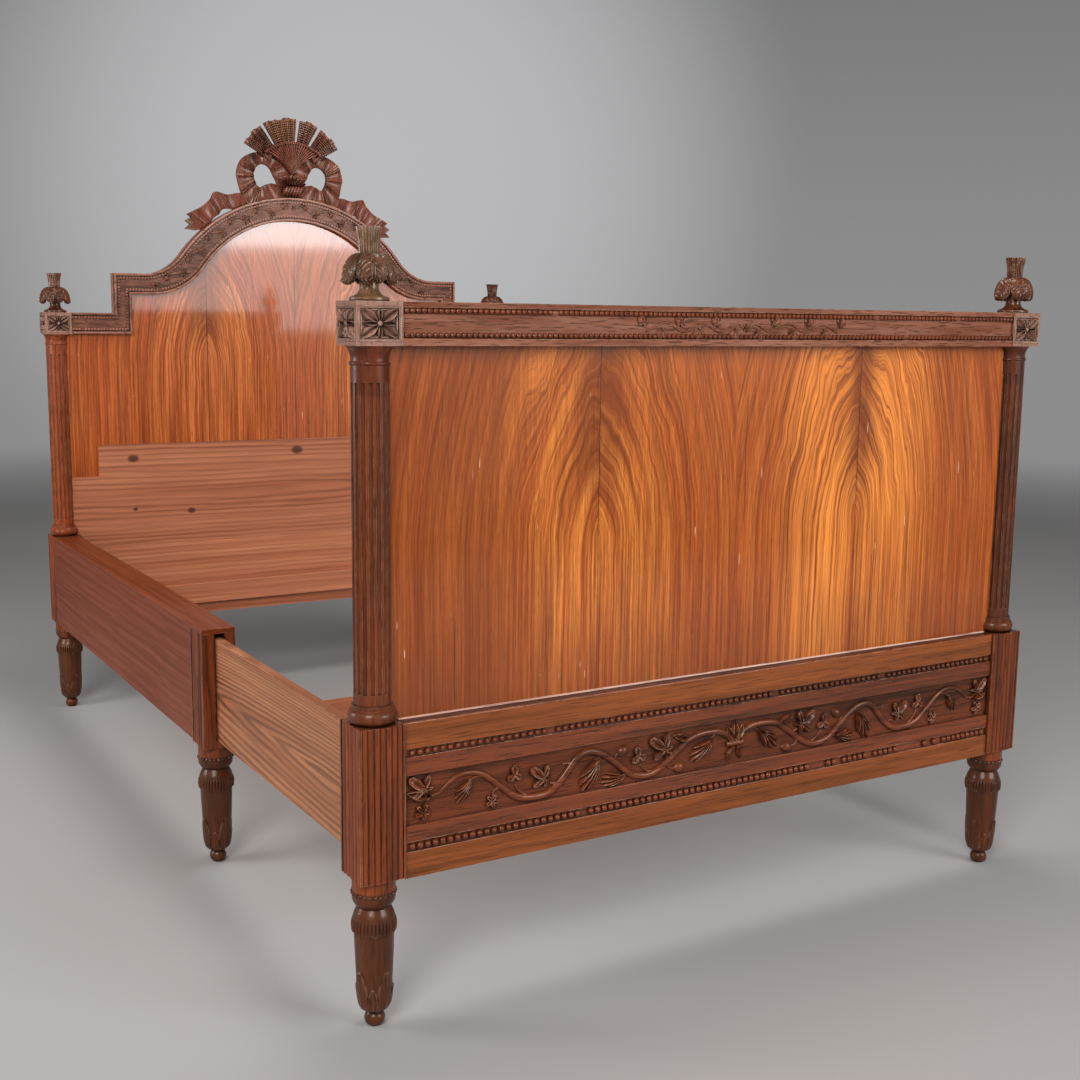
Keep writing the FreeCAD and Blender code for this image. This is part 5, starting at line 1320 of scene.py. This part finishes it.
def ribbon_tail(shell, side):
    """One forked tail of the bow, pleated in folds."""
    top, low = (smooth_line(scaled(line, TAIL_REACH), 14) for line in (TAIL_TOP, TAIL_LOW))
    end = scaled(TAIL_END, TAIL_REACH)
    end = [end[j // 2].lerp(end[(j + 1) // 2], 0.5) for j in range(2 * len(end) - 1)]
    rows = []
    for i, (high, deep) in enumerate(zip(top, low)):
        t = i / (len(top) - 1)
        fold = pleat(t * 3.6, 1.9)
        row = []
        for j, tip in enumerate(end):
            s = j / (len(end) - 1)
            spot = tip if t == 1.0 else high.lerp(deep, s)
            roll = math.sin(math.pi * (0.06 + 0.88 * s)) ** 0.5
            row.append((side * spot.x, spot.y, RIBBON_DEEP - 0.0050 + 0.0058 * fold + 0.003 * roll))
        rows.append(row)
    shell.relief(rows, base=0.0008)


def crest_ribbon():
    """The bow on the headboard: two pleated loops and two forked tails."""
    shell = Shell()
    for side in (-1, 1):
        ribbon_loop(shell, side)
        ribbon_tail(shell, side)
    for x, seed in ((-0.012, 0.2), (0.012, 1.1)):
        rows = []
        for i in range(13):
            high = RIBBON_DEEP - 0.003 + 0.004 * pleat(i / 12 * 2.2, seed)
            rows.append([(x + 0.024 * (j / 6 - 0.5), -0.02 + 0.10 * i / 12, high) for j in range(7)])
        shell.relief(rows, base=0.0016)
    shell.dressed("crest_ribbon_pleated", "crest", HEAD, CREST_PLANE, "crest_ribbon")


# Bunches of ears: first and last angle from upright in degrees, rays, and whether they are golden
BUNCHES = ((-60.5, -35.2, 4, False), (-31.6, 5.6, 5, True), (9.8, 30.2, 3, False), (34.2, 60.5, 4, False))
FAN_REACH = 0.1490
STALK_GROOVES = 20
CREST_PLANE = carving_plane(0.0, PANEL_BACK, ARCH_TOP)


def fan_place(radius, degrees, high):
    """A place of the sheaf in its carving plane, by its angle from upright."""
    turn = math.radians(degrees)
    return (radius * math.sin(turn), STALK_Z + radius * math.cos(turn), high)


def tie_radius(degrees):
    """The radius of the tie across the stalks, which is flatter than a circle."""
    return 0.0805 + 0.0110 * (degrees / 53.0) ** 2


def crest_stalks():
    """Stalks that spread like a trumpet from one point, with deep grooves, and the notched tie across them."""
    def stalk(t, s):
        angle = (27.0 + 26.0 * t ** 0.8) * s
        groove = abs(math.sin(math.pi * STALK_GROOVES * (s + 1.0) / 2)) ** 0.7
        dome = 0.006 * math.cos(math.radians(angle) * 1.5) * (0.2 + 0.8 * t)
        return fan_place(0.003 + (tie_radius(angle) - 0.003) * t, angle, 0.029 + dome + 0.0034 * groove * t)

    shell = relief_of(stalk, rows=12, columns=STALK_GROOVES * 6, base=0.008)
    band = []
    for wide, high, deep in ((0.0, 0.026, 0.0), (0.001, 0.0385, 1.0), (0.0065, 0.0380, 1.0), (0.0085, 0.026, 0.0)):
        row = []
        for j in range(151):
            angle = -56.0 + 112.0 * j / 150
            notch = abs(math.sin(math.pi * j / 6)) ** 0.5
            row.append(fan_place(tie_radius(angle) + wide, angle, high + 0.0022 * (notch - 0.5) * deep))
        band.append(row)
    shell.relief(band, base=0.008)
    return shell


def crest_sheaf():
    """The sheaf: bundled stalks, a notched tie and ears of square grains in four bunches with gaps between."""
    sheaf = crest_stalks()
    back, front = 0.0185, 0.0255
    spots = ([], [])
    for first, last, rays, golden in BUNCHES:
        step = (last - first) / rays
        for ray in range(rays):
            start, end = first + step * ray + 0.2, first + step * (ray + 1) - 0.2
            reach = FAN_REACH * (1.0 + 0.035 * abs((start + end) / 120)) + 0.0022 * ((ray * 5 + rays) % 3 - 1)
            plate = []
            for radius in (0.074, 0.110, reach):
                row = []
                for j in range(4):
                    angle = start + (end - start) * j / 3
                    flat = radius / math.cos(math.radians(angle - (start + end) / 2))
                    row.append(fan_place(flat, angle, front - (0.0014 if j in (0, 3) else 0.0)))
                plate.append(row)
            sheaf.relief(plate, base=back)
        for k in range(3 * rays):
            angle = first + step * (k + 0.5) / 3
            for i in range(9):
                radius = 0.0945 + 0.0060 * i
                spots[golden].append((fan_place(radius, angle, front - 0.0004), math.radians(90.0 - angle),
                                      (0.0054, radius * math.radians(step / 3) * 0.84, 0.0036)))
    sheaf.dressed("crest_sheaf_carved", "crest", HEAD, CREST_PLANE, "crest_sheaf")
    grain = Shell()
    grain.relief([[(-0.5, -0.5, 0.0), (-0.5, 0.0, 0.0), (-0.5, 0.5, 0.0)],
                  [(-0.2, -0.38, 0.7), (-0.15, 0.0, 0.9), (-0.2, 0.38, 0.7)],
                  [(0.3, -0.36, 0.7), (0.35, 0.0, 0.95), (0.3, 0.36, 0.7)],
                  [(0.5, -0.5, 0.0), (0.55, 0.0, 0.0), (0.5, 0.5, 0.0)]], base=-0.3)
    for group, wood, label in zip(spots, ("crest", "golden_crest"), ("dark", "golden")):
        ears = Shell()
        sprayed(ears, grain, wood, group)
        ears.dressed("crest_ears_" + label, wood, HEAD, CREST_PLANE, angle=30.0)


def crest_knot():
    """The twisted knot with its frill of small leaves, in front of the bow."""
    shell = Shell()
    radii = (0.0070, 0.0125, 0.0148, 0.0130, 0.0148, 0.0125, 0.0070)
    shell.tube([(x, 0.0185, 0.020) for x in (-0.026, -0.018, -0.008, 0.0, 0.008, 0.018, 0.026)],
               lambda t: radii[round(6 * t)], sides=20, flat=0.9)
    strand = ((0.0, 0.0035, 0.024), (-0.0015, 0.0110, 0.0315), (0.0020, 0.0190, 0.0345), (0.0070, 0.0270, 0.0315),
              (0.0105, 0.0335, 0.024))
    for k in range(6):
        path = smooth_line([(x - 0.0240 + 0.0084 * k, y, z) for x, y, z in strand], 5)
        shell.tube(path, lambda t: 0.0022 + 0.0026 * math.sin(math.pi * t), sides=9)
    spots = []
    for reach, high, count in ((0.027, 0.0235, 9), (0.019, 0.0265, 7)):
        for i in range(count):
            angle = math.radians(25 + 130 * i / (count - 1))
            spots.append(((0.017 * math.cos(angle), 0.028 + 0.004 * math.sin(angle), high), angle,
                          (reach, reach * 0.9, 0.020)))
    sprayed(shell, petal_shell(fat=0.25, rise=0.25), "crest", spots)
    shell.dressed("crest_knot_twisted", "crest", HEAD, CREST_PLANE, "crest_knot")


def tone(name, description, default):
    """A colour that a user may change."""
    return bpy.props.FloatVectorProperty(name=name, description=description, subtype="COLOR", default=default, min=0.0,
                                         max=1.0)


def measure(name, description, default, least, unit="NONE"):
    """A number that a user may change."""
    return bpy.props.FloatProperty(name=name, description=description, default=default, min=least, unit=unit)


class BedLooks(bpy.types.PropertyGroup):
    """Colours and sizes that a user would change."""

    dark_wood: tone("Dark wood", "Darkest grain of the posts and carving", (0.022, 0.0060, 0.0028))
    brown_wood: tone("Brown wood", "Middle tone of the posts and carving", (0.125, 0.031, 0.0098))
    worn_edge: tone("Worn edge", "Wood shown where edges are rubbed", (0.52, 0.30, 0.19))
    golden_wood: tone("Golden wood", "The bleached finial", (0.21, 0.112, 0.052))
    dusty_wood: tone("Dusty wood", "Greyer wood of the top rail and the arch", (0.205, 0.076, 0.044))
    grey_wood: tone("Grey wood", "Weathered wood of the capitals and the finials", (0.295, 0.160, 0.120))
    # The ledge's colour: rubbed pale, and partly a painted highlight on its top
    pale_ledge: tone("Pale ledge", "The rubbed ledge at the panel's foot", (0.36, 0.16, 0.11))
    red_board: tone("Reddish board", "The hollow side rails", (0.285, 0.062, 0.019))
    strip_wood: tone("Light strip", "Plain strips of the bottom rail", (0.34, 0.095, 0.026))
    flame_dark: tone("Flame dark", "Dark lines of the veneer", (0.120, 0.022, 0.0045))
    flame_mid: tone("Flame brown", "Body of the veneer", (0.425, 0.090, 0.0145))
    flame_gold: tone("Flame gold", "Golden bands of the veneer", (0.76, 0.250, 0.042))
    pine_dark: tone("Pine dark", "Growth lines of the pine", (0.105, 0.032, 0.015))
    pine_mid: tone("Pine brown", "Body of the pine", (0.45, 0.152, 0.068))
    pine_light: tone("Pine light", "Pale bands of the pine", (0.58, 0.25, 0.12))
    floor_colour: tone("Floor", "Studio floor", (0.35, 0.342, 0.338))
    wall_low: tone("Backdrop low", "Backdrop at the horizon", (0.265, 0.265, 0.265))
    wall_high: tone("Backdrop high", "Backdrop above the bed", (0.125, 0.125, 0.129))
    wall_glow: tone("Backdrop glow", "The lit part of the backdrop behind the bed", (0.49, 0.49, 0.50))
    fill_colour: tone("Fill", "Colour of the light from all round", (0.98, 0.99, 1.0))
    fill_strength: measure("Fill strength", "Strength of the light from all round", 0.27, 0.0)
    key_power: measure("Key power", "Power of the key softbox", 200.0, 0.0, "POWER")
    top_power: measure("Top power", "Power of the softbox overhead", 45.0, 0.0, "POWER")
    side_power: measure("Side power", "Power of the softbox at the right", 110.0, 0.0, "POWER")
    low_power: measure("Low power", "Power of the lower softbox at the right", 14.0, 0.0, "POWER")
    left_power: measure("Left power", "Power of the softbox over the floor at the left", 33.0, 0.0, "POWER")
    bead_pitch: measure("Bead pitch", "Distance from bead to bead on the bottom rail", 0.0123, 0.004, "LENGTH")
    bead_radius: measure("Bead radius", "Radius of the bottom rail's beads", 0.0056, 0.001, "LENGTH")
    edge_round: measure("Edge rounding", "Rounding of the boards' edges", 0.0011, 0.0, "LENGTH")


class StageOperator(bpy.types.Operator):
    """Sets up the floor, the lights, the backdrop and the camera"""

    bl_idname = "bed.make_stage"
    bl_label = "Make the studio"

    def execute(self, context):
        make_stage(context.scene.bed_looks)
        return {"FINISHED"}


class BoardsOperator(bpy.types.Operator):
    """Gives every packed board, post and rail its wood"""

    bl_idname = "bed.dress_boards"
    bl_label = "Dress the boards"

    def execute(self, context):
        dress_boards(context.scene.bed_looks)
        return {"FINISHED"}


class BeadsOperator(bpy.types.Operator):
    """Makes every row of beads"""

    bl_idname = "bed.bead_rows"
    bl_label = "Make the bead rows"

    def execute(self, context):
        bead_rows(context.scene.bed_looks)
        return {"FINISHED"}


class FriezeVineOperator(bpy.types.Operator):
    """Carves the vine of the bottom rail"""

    bl_idname = "bed.frieze_vine"
    bl_label = "Carve the bottom rail"

    def execute(self, context):
        frieze_vine()
        return {"FINISHED"}


class RailVineOperator(bpy.types.Operator):
    """Carves the small vine of the top rail"""

    bl_idname = "bed.rail_vine"
    bl_label = "Carve the top rail"

    def execute(self, context):
        rail_vine()
        return {"FINISHED"}


class ArchVineOperator(bpy.types.Operator):
    """Carves the vine of the headboard's moulding"""

    bl_idname = "bed.arch_vine"
    bl_label = "Carve the arch"

    def execute(self, context):
        arch_vine()
        return {"FINISHED"}


class RosettesOperator(bpy.types.Operator):
    """Carves the rosettes of the capitals"""

    bl_idname = "bed.rosettes"
    bl_label = "Carve the rosettes"

    def execute(self, context):
        rosettes()
        return {"FINISHED"}


class FinialsOperator(bpy.types.Operator):
    """Turns and carves the finials"""

    bl_idname = "bed.finials"
    bl_label = "Make the finials"

    def execute(self, context):
        finials()
        return {"FINISHED"}


class LegsOperator(bpy.types.Operator):
    """Carves the six legs"""

    bl_idname = "bed.leg_carving"
    bl_label = "Carve the legs"

    def execute(self, context):
        leg_carving()
        return {"FINISHED"}


class CrestRibbonOperator(bpy.types.Operator):
    """Carves the bow on the headboard"""

    bl_idname = "bed.crest_ribbon"
    bl_label = "Carve the bow"

    def execute(self, context):
        crest_ribbon()
        return {"FINISHED"}


class CrestSheafOperator(bpy.types.Operator):
    """Carves the sheaf on the headboard"""

    bl_idname = "bed.crest_sheaf"
    bl_label = "Carve the sheaf"

    def execute(self, context):
        crest_sheaf()
        return {"FINISHED"}


class CrestKnotOperator(bpy.types.Operator):
    """Carves the knot of the bow"""

    bl_idname = "bed.crest_knot"
    bl_label = "Carve the knot"

    def execute(self, context):
        crest_knot()
        return {"FINISHED"}


OPERATORS = (StageOperator, BoardsOperator, BeadsOperator, FriezeVineOperator, RailVineOperator, ArchVineOperator,
             RosettesOperator, FinialsOperator, LegsOperator, CrestRibbonOperator, CrestSheafOperator,
             CrestKnotOperator)


class BedPanel(bpy.types.Panel):
    """Lists what dresses the bed"""

    bl_idname = "VIEW3D_PT_bed_looks"
    bl_label = "Bed"
    bl_space_type = "VIEW_3D"
    bl_region_type = "UI"
    bl_category = "Bed"

    def draw(self, context):
        for name in BedLooks.__annotations__:
            self.layout.prop(context.scene.bed_looks, name)
        for operator in OPERATORS:
            self.layout.operator(operator.bl_idname)


CLASSES = (BedLooks,) + OPERATORS + (BedPanel,)


def register():
    for made in CLASSES:
        bpy.utils.register_class(made)
    bpy.types.Scene.bed_looks = bpy.props.PointerProperty(type=BedLooks)


def unregister():
    del bpy.types.Scene.bed_looks
    for made in reversed(CLASSES):
        bpy.utils.unregister_class(made)


def main():
    """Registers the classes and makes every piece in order."""
    register()
    for operator in OPERATORS:
        group, action = operator.bl_idname.split(".")
        getattr(getattr(bpy.ops, group), action)()


if __name__ == "__main__":
    main()
